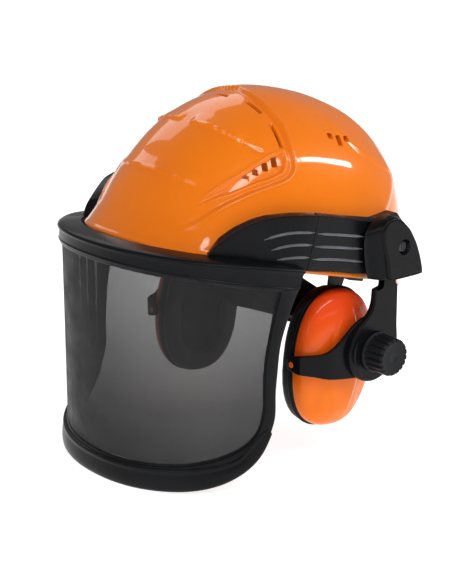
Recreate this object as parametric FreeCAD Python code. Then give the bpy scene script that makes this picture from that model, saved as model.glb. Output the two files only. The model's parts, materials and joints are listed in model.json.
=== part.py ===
import FreeCAD
import Part
import math
import os

# Forestry helmet: ventilated shell, lift-up mesh visor and swing-out ear muffs.
# Millimetres.  +X is the wearer's left, -Y the front, +Z up.
# The origin is the middle of the head opening.

# ---------------------------------------------------------------- driving sizes
RIM_TILT = -14.0          # the rim plane drops from brow to nape
WALL = 2.6                # shell wall
PANEL_STEP = 1.5          # height of the raised rear panel over the brow panel
PIVOT_Y = 67.0            # visor and muff carrier turn on this cross axis
PIVOT_Z = 16.5
POST_R = 7.0
RUN_FIT = 0.05            # radial running clearance
VISOR_W = 125.0           # half width of the visor band
VISOR_FRONT = -160.0
VISOR_REAR = -30.0
VISOR_POWER = 2.15
CUP_Y = 22.0
CUP_Z = -80.0
CUP_LEAN = -6.0
CUSHION_X = 78.0          # face of the ear cushion
PLATE_X = 88.0
CUP_X = 91.0
STUD_Y = 43.0
STUD_Z = -71.0
PIN_X = 97.0              # cup trunnions
PIN_Z = -76.0
SWING_X = 124.0           # swing hinge of the muff arm
SWING_Z = -6.5
BAND_W = 73.0             # headband half width
CROSS_Y = 49.0            # station of the cross strap
CROSS_REACH = 97.0
CROSS_HIGH = 98.8
LONG_MID = 5.0            # middle of the front-to-rear strap
LONG_REACH = 125.0
LONG_HIGH = 100.0
KNOB_R = 16.5
SCREW_YS = (50.5, 84.0)   # side bracket screws
SCREW_Z = 30.0
ARM_X = 117.5             # outside of the visor arms at the seam
PETAL_DRAW = 16.0         # how far the front arm curves in over the brow
ARM_SEAM = [(-15.0, 53.5), (-27.4, 9.3)]

# Upper and lower edge of the visor band, seen from the side.
BAND_TOP = [(-170.0, 36.5), (-124.0, 29.5), (-105.0, 27.2), (-82.0, 23.6), (-55.0, 18.6), (-33.0, 13.8)]
BAND_LOW = [(-170.0, 23.0), (-124.0, 15.0), (-60.0, 2.6), (-41.5, -1.2)]

V = FreeCAD.Vector

# Shell stations: height, half width, front, rear (helmet axes, before the tilt).
SHELL_STATIONS = [
    (-18.0, 110.0, -145.0, 158.0),
    (0.0, 109.0, -142.0, 150.0),
    (15.0, 107.0, -133.5, 146.0),
    (35.0, 104.0, -125.0, 144.0),
    (60.0, 97.0, -113.0, 139.0),
    (85.0, 86.0, -98.0, 129.0),
    (105.0, 72.0, -81.0, 113.0),
    (120.0, 56.0, -62.0, 94.0),
    (130.0, 40.0, -44.0, 73.0),
    (136.0, 24.0, -30.0, 52.0),
    (138.5, 12.0, -17.0, 34.0),
]
SHELL_POWER = 2.3
SHELL_MID = 10.0

# Front edge of the raised rear panel, seen from the side.
PANEL_EDGE = [
    (-51.0, 150.0), (-50.0, 130.0), (-43.0, 127.0), (-39.0, 119.0), (-37.0, 108.0),
    (-35.0, 92.0), (-34.0, 82.0), (-40.0, 72.0), (-58.0, 62.0), (-76.0, 52.0),
    (-92.0, 41.0), (-104.0, 30.0), (-112.0, 18.0), (-117.0, -20.0),
]
VENT_POCKET = [(-98.0, 44.5), (-42.5, 89.0), (-45.0, 75.5), (-62.0, 66.0)]


# ---------------------------------------------------------------- helpers
def box(x0, x1, y0, y1, z0, z1):
    return Part.makeBox(x1 - x0, y1 - y0, z1 - z0, V(x0, y0, z0))


def rod(axis, start, end, radius, a, b):
    """Cylinder along an axis; a and b are its two cross coordinates in axis order."""
    length = end - start
    if axis == "x":
        return Part.makeCylinder(radius, length, V(start, a, b), V(1, 0, 0))
    if axis == "y":
        return Part.makeCylinder(radius, length, V(a, start, b), V(0, 1, 0))
    return Part.makeCylinder(radius, length, V(a, b, start), V(0, 0, 1))


def side_prism(outline, x0, x1):
    """Outline in (y, z) pushed along X."""
    points = [V(x0, y, z) for y, z in outline]
    face = Part.Face(Part.makePolygon(points + [points[0]]))
    return face.extrude(V(x1 - x0, 0, 0))


def plan_prism(outline, z0, z1):
    """Outline in (x, y) pushed up."""
    points = [V(x, y, z0) for x, y in outline]
    face = Part.Face(Part.makePolygon(points + [points[0]]))
    return face.extrude(V(0, 0, z1 - z0))


def mirrored(shape):
    return shape.mirror(V(0, 0, 0), V(1, 0, 0))


def tilted(shape):
    turned = shape.copy()
    turned.rotate(V(0, 0, 0), V(1, 0, 0), RIM_TILT)
    return turned


def clean(shape):
    return shape.removeSplitter()


def one(shape):
    """The largest solid of a boolean result."""
    return max(shape.Solids, key=lambda solid: solid.Volume)


def arc_points(power, count):
    """Unit quarter-to-quarter arc of a superellipse, from left through front to right."""
    points = []
    for i in range(count + 1):
        t = -math.pi / 2 + math.pi * i / count
        s = math.sin(t)
        c = max(math.cos(t), 0.0)
        points.append((math.copysign(abs(s) ** (2 / power), s), c ** (2 / power)))
    return points


def bow_edge(half_width, front, rear, z, power):
    """Spline round the front, open to the rear."""
    points = [V(half_width * u, rear + (front - rear) * v, z) for u, v in arc_points(power, 28)]
    curve = Part.BSplineCurve()
    curve.interpolate(points)
    return curve.toShape(), points[0], points[-1]


def bow_solid(half_width, front, rear, power, z0, z1, run=0.0):
    """Everything inside a bow, with a straight run of its legs behind it."""
    edge, left, right = bow_edge(half_width, front, rear, z0, power)
    back = rear + run
    edges = [edge]
    if run:
        edges.append(Part.makeLine(right, V(right.x, back, z0)))
        edges.append(Part.makeLine(V(right.x, back, z0), V(left.x, back, z0)))
        edges.append(Part.makeLine(V(left.x, back, z0), left))
    else:
        edges.append(Part.makeLine(right, left))
    return Part.Face(Part.Wire(edges)).extrude(V(0, 0, z1 - z0))


def bow_slab(half_width, front, rear, power, thick, z0, z1, run=0.0):
    outer = bow_solid(half_width, front, rear, power, z0, z1, run)
    inner = bow_solid(half_width - thick, front + thick, rear, power, z0 - 1, z1 + 1, run + 5)
    return outer.cut(inner)


def station_wire(height, half_width, front, rear):
    points = []
    count = 40
    for i in range(count):
        t = 2 * math.pi * i / count
        c = math.cos(t)
        s = math.sin(t)
        r = (abs(c) ** SHELL_POWER + abs(s) ** SHELL_POWER) ** (-1 / SHELL_POWER)
        reach = (SHELL_MID - front) if s < 0 else (rear - SHELL_MID)
        points.append(V(half_width * r * c, SHELL_MID + reach * r * s, height))
    curve = Part.BSplineCurve()
    curve.interpolate(Points=points, PeriodicFlag=True)
    return Part.Wire(curve.toShape())


def dome(grow):
    """Solid dome of the shell, grown (or shrunk) by about `grow` all round."""
    wires = []
    for height, half_width, front, rear in SHELL_STATIONS:
        lift = grow * max(height, 0.0) / SHELL_STATIONS[-1][0]
        wires.append(station_wire(height + lift, half_width + grow, front - grow, rear + grow))
    return Part.makeLoft(wires, True, False)


# ---------------------------------------------------------------- shell
def rim_cutter():
    outline = [(-220, 0), (60, 0), (95, -3), (130, -11), (220, -16), (220, -60), (-220, -60)]
    return side_prism(outline, -200, 200)


def crown_slots():
    slots = [box(-6.5, 6.5, -53.0, -50.4, 110, 150)]
    for side in (-1, 1):
        slot = box(-8.5, 8.5, -1.3, 1.3, 100, 150)
        slot.rotate(V(0, 0, 0), V(0, 0, 1), 8 * side)
        slot.translate(V(side * 35.5, -43.0, 0))
        slots.append(slot)
        slots.append(box(min(side * 50, side * 90), max(side * 50, side * 90), -39.6, -37.0, 96, 111))
    return Part.makeCompound(slots)


def side_vents():
    holes = []
    for y, z, height in ((-47.5, 81.5, 8.0), (-55.5, 76.5, 7.0), (-63.5, 71.0, 5.5), (-71.0, 65.5, 4.0)):
        holes.append(box(-130, 130, y - 2.4, y + 2.4, z - height / 2, z + height / 2))
    for y, z, height in ((12.0, 107.0, 3.0), (23.0, 107.5, 6.0), (34.0, 112.0, 3.0)):
        holes.append(box(40, 110, y - 3.2, y + 3.2, z - height / 2, z + height / 2))
        holes.append(box(-110, -40, y - 3.2, y + 3.2, z - height / 2, z + height / 2))
    return Part.makeCompound(holes)


def make_shell():
    outer = dome(0.0)
    inner = dome(-WALL)
    raised = dome(PANEL_STEP)
    region = side_prism(PANEL_EDGE + [(190, -20), (190, 150)], -200, 200)
    body = outer.fuse(raised.common(region))
    body = body.cut(inner.fuse(dome(-WALL - 0.4).common(box(-200, 200, -200, 200, -30, -17))))
    pocket = side_prism(VENT_POCKET, -200, 200).cut(dome(-0.4))
    body = body.cut(pocket)
    body = body.cut(rim_cutter())
    body = body.cut(crown_slots())
    body = body.cut(side_vents())
    return one(body), inner


# ---------------------------------------------------------------- head harness
def make_headband():
    slab = bow_slab(BAND_W, -108.0, -25.0, 2.2, 1.8, -80, 40, 73.0)
    outline = [(-120, -24), (-60, -21), (-30, -29), (2, -42), (48, -57),
               (48, -24), (5, -8), (-30, 2), (-60, 6), (-120, 7)]
    return one(slab.common(side_prism(outline, -120, 120)))


def make_sweatband():
    slab = bow_slab(BAND_W - 1.8, -106.2, -25.0, 2.2, 4.0, -80, 40)
    outline = [(-120, -22), (-45, -20), (-45, 4), (-120, 6)]
    return one(slab.common(side_prism(outline, -120, 120)))


def nape_bow(half_width, rear, thick):
    slab = bow_slab(half_width, -rear, -22.0, 2.2, thick, -80, 40)
    slab.rotate(V(0, 0, 0), V(0, 0, 1), 180)
    return slab


def make_nape_strap():
    outline = [(22, -25), (60, -38), (120, -44), (120, -68), (60, -64), (22, -47)]
    return one(nape_bow(BAND_W - 2.3, 104.0, 1.8).common(side_prism(outline, -120, 120)))


def make_nape_pad():
    outline = [(80, -45), (120, -46), (120, -66), (80, -64)]
    return one(nape_bow(BAND_W - 4.1, 102.2, 5.0).common(side_prism(outline, -120, 120)))


def make_ratchet_housing():
    body = box(-34, 34, 92, 116, -69, -43)
    body = body.makeFillet(6.0, [e for e in body.Edges if abs(e.tangentAt(0).y) > 0.9])
    body = body.cut(bow_solid_rear(BAND_W - 2.3, 104.0))
    return one(body.cut(rod("y", 110.0, 120.0, 4.0 + RUN_FIT, 0, -56)))


def bow_solid_rear(half_width, rear):
    solid = bow_solid(half_width, -rear, -22.0, 2.2, -90, 40)
    solid.rotate(V(0, 0, 0), V(0, 0, 1), 180)
    return solid


def grip(axis_y0, axis_y1, radius, teeth, depth):
    """Scalloped hand knob along +Y at the origin."""
    body = rod("y", axis_y0, axis_y1, radius, 0, 0)
    for i in range(teeth):
        a = 2 * math.pi * i / teeth
        groove = rod("y", axis_y0 - 1, axis_y1 + 1, depth, radius * math.cos(a), radius * math.sin(a))
        body = body.cut(groove)
    return body


def make_ratchet_knob():
    knob = grip(116.4, 128.0, 17.0, 20, 1.1)
    knob = knob.fuse(rod("y", 110.5, 117.0, 4.0, 0, 0))
    knob.translate(V(0, 0, -56))
    return one(knob)


def strap_ring(reach, height, thick, width):
    """Elliptic webbing ring that spans from front to rear, longer than it is high."""
    outer = Part.Ellipse(V(0, 0, 0), reach + thick, height + thick)
    inner = Part.Ellipse(V(0, 0, 0), reach, height)
    ring = Part.Face(Part.Wire(outer.toShape())).cut(Part.Face(Part.Wire(inner.toShape())))
    solid = ring.extrude(V(0, 0, width))
    solid.translate(V(0, 0, -width / 2))
    solid.rotate(V(0, 0, 0), V(1, 0, 0), 90)
    solid.rotate(V(0, 0, 0), V(0, 0, 1), 90)
    solid.translate(V(0, LONG_MID, 0))
    return solid


def make_long_strap():
    ring = strap_ring(LONG_REACH, LONG_HIGH, 1.2, 20.0)
    return one(ring.common(box(-30, 30, -160, 160, 0, 130)))


def cross_ring(outset, width):
    """Elliptic webbing ring that spans from side to side, a little higher than it is wide."""
    outer = elliptic_arch(CROSS_REACH + 1.2 + outset, CROSS_HIGH + 1.2 + outset, width)
    inner = elliptic_arch(CROSS_REACH - outset, CROSS_HIGH - outset, width + 4.0)
    ring = outer.cut(inner)
    ring.translate(V(0, CROSS_Y, 0))
    return ring


def make_cross_strap():
    """Spans the head from side to side, over the long strap."""
    ring = cross_ring(0.0, 20.0)
    return one(ring.common(box(-120, 120, 0, 80, 0, 130)))


def elliptic_arch(reach, height, width):
    """Solid ellipse in the XZ plane, taller than it is wide."""
    curve = Part.Ellipse(V(0, 0, 0), height, reach)
    solid = Part.Face(Part.Wire(curve.toShape())).extrude(V(0, 0, width))
    solid.translate(V(0, 0, -width / 2))
    solid.rotate(V(0, 0, 0), V(0, 0, 1), 90)
    solid.rotate(V(0, 0, 0), V(1, 0, 0), 90)
    return solid


def make_crown_pad():
    ring = strap_ring(LONG_REACH - 6.0, LONG_HIGH - 6.0, 5.9, 56.0)
    return one(ring.common(box(-40, 40, -26, 36, 50, 130)))


def make_end_anchor(front, inner_dome):
    """Plastic key that holds the end of the long strap to the shell."""
    if front:
        block = box(-13, 13, -145, -117.0, -6, 16)
    else:
        block = box(-13, 13, 127.0, 155, -6, 16)
    ring = strap_ring(LONG_REACH - 0.1, LONG_HIGH - 0.1, 1.4, 20.2)
    block = block.common(inner_dome)
    return one(block.cut(ring.common(box(-30, 30, -160, 160, 0, 60))))


def make_side_anchor(inner_dome):
    """Key at the left end of the cross strap, with the hanger's seat."""
    block = box(94.0, 115, CROSS_Y - 13, CROSS_Y + 13, -2, 16).common(inner_dome)
    ring = cross_ring(0.1, 20.2)
    return one(block.cut(ring.common(box(50, 120, 0, 80, 0, 60))))


def make_hanger():
    """Tapered tab from the side anchor down to the headband."""
    top = CROSS_Y - 10
    outline = [(top, -2), (top + 20, -2), (top + 14, -40), (top + 5, -40)]
    tab = side_prism(outline, BAND_W, BAND_W + 2.0)
    foot = box(BAND_W, 98.0, CROSS_Y - 8, CROSS_Y + 8, -5, -2)
    return one(tab.fuse(foot))


def make_front_hanger():
    """Brow tab from the front anchor down to the headband."""
    plate = box(-9, 9, -124, -120, -16, -6)
    foot = box(-9, 9, -124, -104, -16, -12)
    return one(plate.fuse(foot).cut(bow_solid(BAND_W, -108.0, -25.0, 2.2, -80, 40, 73.0)))


# ---------------------------------------------------------------- pivot
def make_bracket(outer_dome):
    """Plate screwed to the side of the shell, carrying the pivot post."""
    outline = [(45, -6), (45, 30), (52, 38), (84, 38), (91, 30), (91, -6)]
    plate = side_prism(outline, 90.0, 106.0)
    plate = plate.cut(outer_dome)
    post = rod("x", 104.0, 127.0, POST_R, PIVOT_Y, PIVOT_Z)
    boss = rod("x", 104.0, 109.2, 13.0, PIVOT_Y, PIVOT_Z)
    body = plate.fuse(boss).fuse(post)
    body = body.cut(rod("x", 110.0, 128.0, 2.5, PIVOT_Y, PIVOT_Z))
    for y in SCREW_YS:
        body = body.cut(rod("x", 80.0, 104.0, 2.0, y, SCREW_Z))
        body = body.cut(rod("x", 103.5, 107.0, 4.0, y, SCREW_Z))
    return one(body)


def make_bracket_screw(y):
    shank = rod("x", 93.0, 104.0, 2.0, y, SCREW_Z)
    head = rod("x", 103.5, 105.8, 4.0, y, SCREW_Z)
    return clean(shank.fuse(head))


def make_washer():
    ring = rod("x", 109.3, 110.3, 13.0, PIVOT_Y, PIVOT_Z)
    return ring.cut(rod("x", 108.0, 112.0, POST_R + RUN_FIT, PIVOT_Y, PIVOT_Z))


def make_pivot_screw():
    head = rod("x", 129.7, 131.8, 5.6, PIVOT_Y, PIVOT_Z)
    shank = rod("x", 111.0, 129.7, 2.45, PIVOT_Y, PIVOT_Z)
    slot = box(130.9, 133.0, PIVOT_Y - 0.7, PIVOT_Y + 0.7, PIVOT_Z - 6, PIVOT_Z + 6)
    return one(head.fuse(shank).cut(slot))


def make_cap():
    """Carrier cap that turns on the post and holds the muff arm hinge."""
    outline = [(41.0, -10.0), (38.5, 10.0), (39.0, 26.0), (42.5, 36.0), (49.0, 42.5), (57.0, 44.5),
               (66.0, 41.5), (76.0, 32.0), (84.0, 18.5), (89.5, 5.0), (93.0, -10.0)]
    inside = [(43.8, -12.0), (41.2, 10.0), (41.7, 25.4), (45.0, 34.4), (50.4, 39.8), (57.0, 41.7),
              (64.8, 39.1), (73.8, 30.2), (81.4, 17.2), (86.8, 4.2), (90.4, -12.0)]
    body = side_prism(outline, 118.6, 133.0)
    rim = [e for e in body.Edges if e.BoundBox.XMin > 132.9]
    body = body.makeFillet(4.5, rim)
    body = body.cut(side_prism(inside, 117.0, 130.4))
    body = body.fuse(rod("x", 118.6, 131.0, 10.0, PIVOT_Y, PIVOT_Z))
    body = body.fuse(box(118.6, 131.0, 44.4, 47.6, -10.0, -1.0))
    body = body.fuse(box(118.6, 131.0, 66.4, 69.6, -10.0, -1.0))
    body = body.cut(rod("x", 117.0, 127.3, POST_R + RUN_FIT, PIVOT_Y, PIVOT_Z))
    body = body.cut(rod("x", 117.0, 140.0, 2.55, PIVOT_Y, PIVOT_Z))
    body = body.cut(rod("x", 129.6, 140.0, 6.4, PIVOT_Y, PIVOT_Z))
    body = body.cut(rod("y", 45.2, 68.8, 1.5, SWING_X, SWING_Z))
    return one(body)


def make_hinge_pin():
    return rod("y", 45.3, 68.7, 1.5, SWING_X, SWING_Z)


# ---------------------------------------------------------------- visor arms
def visor_x(y, inset):
    """Half width of the visor bow at a station along Y."""
    v = min(max((VISOR_REAR - y) / (VISOR_REAR - VISOR_FRONT), 0.0), 1.0)
    return VISOR_W * (1.0 - v ** VISOR_POWER) ** (1.0 / VISOR_POWER) - inset


def arm_outer(y):
    """Outside face of the visor arm at a station along Y."""
    if y > -20.0:
        return ARM_X - (y + 20.0) * 2.5 / 65.0
    t = min(max((-y - 22.0) / 66.0, 0.0), 1.0)
    return min(visor_x(y, 3.0), ARM_X) - PETAL_DRAW * t * t * (3.0 - 2.0 * t)


def arm_band(y0, y1, outset, inset_front, inset_rear):
    """Plan band that follows the outside face of the arm."""
    count = 14
    outer = []
    inner = []
    for i in range(count + 1):
        y = y0 + (y1 - y0) * i / count
        depth = inset_front + (inset_rear - inset_front) * i / count
        outer.append((arm_outer(y) + outset, y))
        inner.append((arm_outer(y) - depth, y))
    return plan_prism(outer + inner[::-1], -20, 80)


def make_arm_rear():
    top, bottom = ARM_SEAM
    outline = [top, (19.3, 45.2), (45.8, 38.4), (62, 37.5), (62, -6), (40, -6.2), (2.2, 3.3), bottom]
    plate = arm_band(-30.0, 45.0, 0.0, 4.5, 4.5)
    plate = plate.fuse(box(110.5, 115.0, 45.0, 62.0, -10, 60))
    body = plate.common(side_prism(outline, 90, 140))
    for y0, z0, y1, z1 in ((-15.5, 38.4, 34.5, 27.4), (-17.5, 28.2, 33, 17.3), (-20, 18.1, 34, 5.9)):
        rib = side_prism([(y0, z0), (y1, z1), (y1, z1 - 2.2), (y0, z0 - 2.2)], 90, 140)
        body = body.fuse(arm_band(y0 - 2.0, y1 + 1.0, 1.1, 2.0, 2.0).common(rib))
    hub = rod("x", 110.5, 118.0, 22.0, PIVOT_Y, PIVOT_Z)
    pad = rod("x", 113.0, 118.0, 36.0, 71.0, 17.0).common(box(100, 130, 30, 80, -9.5, 41.0))
    body = body.fuse(hub).fuse(pad)
    body = body.cut(rod("x", 100.0, 125.0, POST_R + RUN_FIT, PIVOT_Y, PIVOT_Z))
    tongue = side_prism([(-42, 46), (-13, 46), (-19, 20), (-42, 20)], 90, 140)
    body = body.fuse(arm_band(-42.0, -10.0, -3.3, 5.5, 5.0).common(tongue))
    return one(body)


def make_arm_front():
    top, bottom = ARM_SEAM
    outline = [top, (-33, 55.8), (-46.5, 56.6), (-59, 55.9), (-71.5, 53.1), (-83, 47.6), (-94.5, 40),
               (-103.5, 31), (-104.5, 27.9), (-82, 24.1), (-55, 19.2), (-32.2, 14.4), (-31.6, 11.2), (-28, 10.9)]
    hollow = [(-12, 50.5), (-33, 52), (-46.5, 52.8), (-58, 52), (-69.5, 49.4), (-80, 44.3), (-90.5, 37.4),
              (-98, 30), (-98, 20), (-60, 10), (-24, 2)]
    body = arm_band(-105.0, -60.0, 0.0, 7.4, 8.6).fuse(arm_band(-60.0, -12.0, 0.0, 8.6, 6.0))
    body = body.common(side_prism(outline, 60, 140))
    void = arm_band(-105.0, -60.0, -3.0, 20.0, 20.0).fuse(arm_band(-60.0, -9.0, -3.0, 20.0, 20.0))
    body = body.cut(void.common(side_prism(hollow, 60, 140)))
    for y0, z0, y1, z1 in ((-61, 39.5, -21.5, 40.6), (-56, 30.5, -24, 30.9), (-52, 22.0, -27.0, 21.2)):
        rib = side_prism([(y0, z0), (y1, z1), (y1, z1 - 2.2), (y0, z0 - 1.0)], 60, 140)
        body = body.fuse(arm_band(-64.0, -14.0, 1.1, 2.0, 2.0).common(rib))
    return one(body)


# ---------------------------------------------------------------- visor
def along(line, y):
    """Height of an edge line at a station along Y."""
    for (y0, z0), (y1, z1) in zip(line, line[1:]):
        if y <= y1:
            return z0 + (z1 - z0) * (y - y0) / (y1 - y0)
    return line[-1][1]


def frame_rear():
    """Rear edge of the visor frame from the band down under the chin."""
    return [(-41.5, -2), (-44.7, -8), (-52.4, -26.5), (-58, -44), (-60.7, -66), (-62.4, -88), (-62.8, -106),
            (-67, -120), (-75, -136), (-90, -150), (-112, -160), (-140, -165)]


def window_rear():
    return [(-59.5, 0), (-62.2, -9.4), (-65, -20.3), (-68.4, -38), (-71.3, -54), (-72.7, -77), (-73.3, -100),
            (-78.2, -116), (-89, -127), (-101, -133), (-117, -138.5), (-137, -142.5)]


def make_band():
    outline = BAND_TOP + [(-35.4, 13.0), (-38.3, 6.7), (-41.5, -1.2)] + BAND_LOW[2::-1]
    wall = bow_slab(VISOR_W, VISOR_FRONT, VISOR_REAR, VISOR_POWER, 3.5, -40, 60)
    wall = wall.common(side_prism(outline, -140, 140))
    shelf = bow_solid(VISOR_W - 1.0, VISOR_FRONT + 1.0, VISOR_REAR, VISOR_POWER, -40, 60)
    shelf = shelf.cut(bow_solid(112.5, -142.0, -10.0, 2.1, -50, 70))
    top = BAND_TOP + [(y, z - 3.0) for y, z in BAND_TOP[::-1]]
    shelf = shelf.common(side_prism(top, -140, 140))
    return one(wall.fuse(shelf))


def make_frame():
    outer = BAND_LOW + frame_rear() + [(-170, -167)]
    window = [(-170, along(BAND_LOW, -170) + 5), (-59.0, along(BAND_LOW, -59) + 5)] + window_rear()
    window += [(-170, -144)]
    wall = bow_slab(VISOR_W - 0.6, VISOR_FRONT + 0.6, VISOR_REAR, VISOR_POWER, 2.9, -180, 60)
    return one(wall.common(side_prism(outer, -140, 140)).cut(side_prism(window, -140, 140)))


def make_chin_guard():
    edge = [(-67, -120), (-75, -136), (-90, -150), (-112, -160), (-140, -165), (-170, -167)]
    top = [(-170, -147), (-135, -145), (-110, -142), (-91, -134.5), (-80, -121), (-76, -112), (-66, -112)]
    wall = bow_slab(VISOR_W + 2.4, VISOR_FRONT - 2.4, VISOR_REAR, VISOR_POWER, 3.0, -180, 0)
    wall = wall.common(side_prism(edge + top, -140, 140))
    return one(wall)


def make_mesh():
    outline = [(-170, along(BAND_LOW, -170) + 6), (-55, along(BAND_LOW, -55) + 6), (-55, -2)]
    outline += [(y + 5, z) for y, z in window_rear()[1:7]]
    outline += [(-73, -118), (-86, -130.5), (-100, -137), (-116, -143), (-134, -147), (-170, -149)]
    wall = bow_slab(VISOR_W - 3.5, VISOR_FRONT + 3.5, VISOR_REAR, VISOR_POWER, 0.8, -180, 60)
    return one(wall.common(side_prism(outline, -140, 140)))


# ---------------------------------------------------------------- ear muffs
def make_muff_arm():
    knuckle = rod("y", 48.0, 66.0, 4.0, SWING_X, SWING_Z)
    neck = box(121.0, 127.0, 48.0, 66.0, -15.0, SWING_Z)
    outline = [(48, -14.5), (41, -16.5), (40, -27), (34, -37), (22, -48), (16, -58), (20, -84), (41, -97),
               (62, -88), (68, -70), (67.5, -60), (67, -16.5), (66, -14.5)]
    bar = side_prism(outline, 121.0, 127.0)
    bar = bar.cut(box(100, 140, 0, 90, -120, -69.0))
    round_end = rod("x", 121.0, 127.0, 28.0, 41.0, -69.0)
    body = knuckle.fuse(neck).fuse(bar).fuse(round_end)
    slot = box(119.0, 130.0, STUD_Y - 3.1, STUD_Y + 3.1, STUD_Z - 9.2, STUD_Z + 9.2)
    body = body.cut(slot).cut(rod("y", 40.0, 75.0, 1.5 + RUN_FIT, SWING_X, SWING_Z))
    return one(clean(body))


def make_stud():
    head = rod("x", 113.4, 115.2, 7.0, STUD_Y, STUD_Z)
    neck = rod("x", 115.2, 120.6, 4.0, STUD_Y, STUD_Z)
    square = box(120.6, 127.0, STUD_Y - 3, STUD_Y + 3, STUD_Z - 3, STUD_Z + 3)
    screw = rod("x", 127.0, 145.0, 3.0, STUD_Y, STUD_Z)
    return one(clean(head.fuse(neck).fuse(square).fuse(screw)))


def make_yoke():
    """Bent strap that holds the cup between its two trunnions."""
    path = [(90.0, -25.0), (103.0, -25.0), (109.0, -20.5), (120.3, 1.0), (120.3, 51.0), (110.0, 67.0),
            (103.0, 69.2), (90.0, 69.2), (90.0, 66.4), (102.0, 66.4), (107.5, 64.0), (116.0, 50.0),
            (116.0, 2.0), (106.5, -18.0), (102.0, -22.4), (90.0, -22.4)]
    outline = [(-26, -70), (-14, -67), (-6, -66.5), (3, -62), (12, -55), (22, -46), (34, -41), (48, -42),
               (60, -52), (70, -68), (70, -84), (56, -90), (40, -93), (27, -92), (9, -90), (-8, -87),
               (-17, -84), (-26, -81)]
    body = plan_prism(path, -110, -30).common(side_prism(outline, 80, 130))
    body = body.cut(rod("x", 100.0, 130.0, 4.0 + RUN_FIT, STUD_Y, STUD_Z))
    body = body.cut(rod("y", -30.0, 0.0, 3.0 + RUN_FIT, PIN_X, PIN_Z))
    body = body.cut(rod("y", 50.0, 75.0, 3.0 + RUN_FIT, PIN_X, PIN_Z))
    return one(body)


def make_knob():
    body = grip(127.6, 149.0, KNOB_R, 18, 1.5)
    body = body.fuse(rod("y", 127.6, 130.4, KNOB_R + 1.0, 0, 0))
    body = body.cut(rod("y", 127.0, 145.6, 3.0 + RUN_FIT, 0, 0))
    body.rotate(V(0, 0, 0), V(0, 0, 1), -90)
    body.translate(V(0, STUD_Y, STUD_Z))
    return one(body)


def cup_station(x, half_width, half_height):
    points = []
    for i in range(28):
        t = 2 * math.pi * i / 28
        c = math.cos(t)
        s = math.sin(t)
        r = (abs(c) ** 2.4 + abs(s) ** 2.4) ** (-1 / 2.4)
        points.append(V(x, CUP_Y + half_width * r * c, CUP_Z + half_height * r * s))
    curve = Part.BSplineCurve()
    curve.interpolate(Points=points, PeriodicFlag=True)
    return Part.Wire(curve.toShape())


def leaned(shape):
    turned = shape.copy()
    turned.rotate(V(0, CUP_Y, CUP_Z), V(1, 0, 0), CUP_LEAN)
    return turned


def oval(x0, x1, half_width, half_height):
    face = Part.Face(cup_station(x0, half_width, half_height))
    return face.extrude(V(x1 - x0, 0, 0))


def cup_dome(inset, x0):
    rows = [(x0, 41.5, 59.5), (98.0, 41.0, 59.0), (103.6, 37.5, 55.5)]
    rows += [(107.6, 31.5, 49.0), (110.4, 22.0, 38.0)]
    wires = [cup_station(x - (inset if x > x0 else 0.0), w - inset, h - inset) for x, w, h in rows]
    return leaned(Part.makeLoft(wires, True, False))


def make_cup():
    body = cup_dome(0.0, CUP_X)
    body = body.fuse(rod("y", -25.0, -12.0, 3.0, PIN_X, PIN_Z))
    body = body.fuse(rod("y", 55.0, 69.2, 3.0, PIN_X, PIN_Z))
    return one(body.cut(cup_dome(2.4, CUP_X - 2.0)).cut(leaned(oval(CUP_X - 1, CUP_X + 1, 39.1, 57.1))))


def make_back_plate():
    plate = oval(PLATE_X, CUP_X, 43.0, 61.0)
    spigot = oval(CUP_X - 0.5, CUP_X + 3.0, 38.6, 56.6)
    return one(leaned(plate.fuse(spigot).cut(oval(80, 100, 30.0, 47.0))))


def make_cushion():
    ring = oval(CUSHION_X, PLATE_X, 42.5, 60.5)
    edges = [e for e in ring.Edges if e.BoundBox.XMax < CUSHION_X + 0.1]
    ring = ring.makeFillet(4.0, edges)
    return one(leaned(ring.cut(oval(70, 95, 25.0, 42.0))))


def make_liner():
    return one(leaned(oval(CUP_X + 3.2, CUP_X + 9.0, 34.0, 51.0)))


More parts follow.
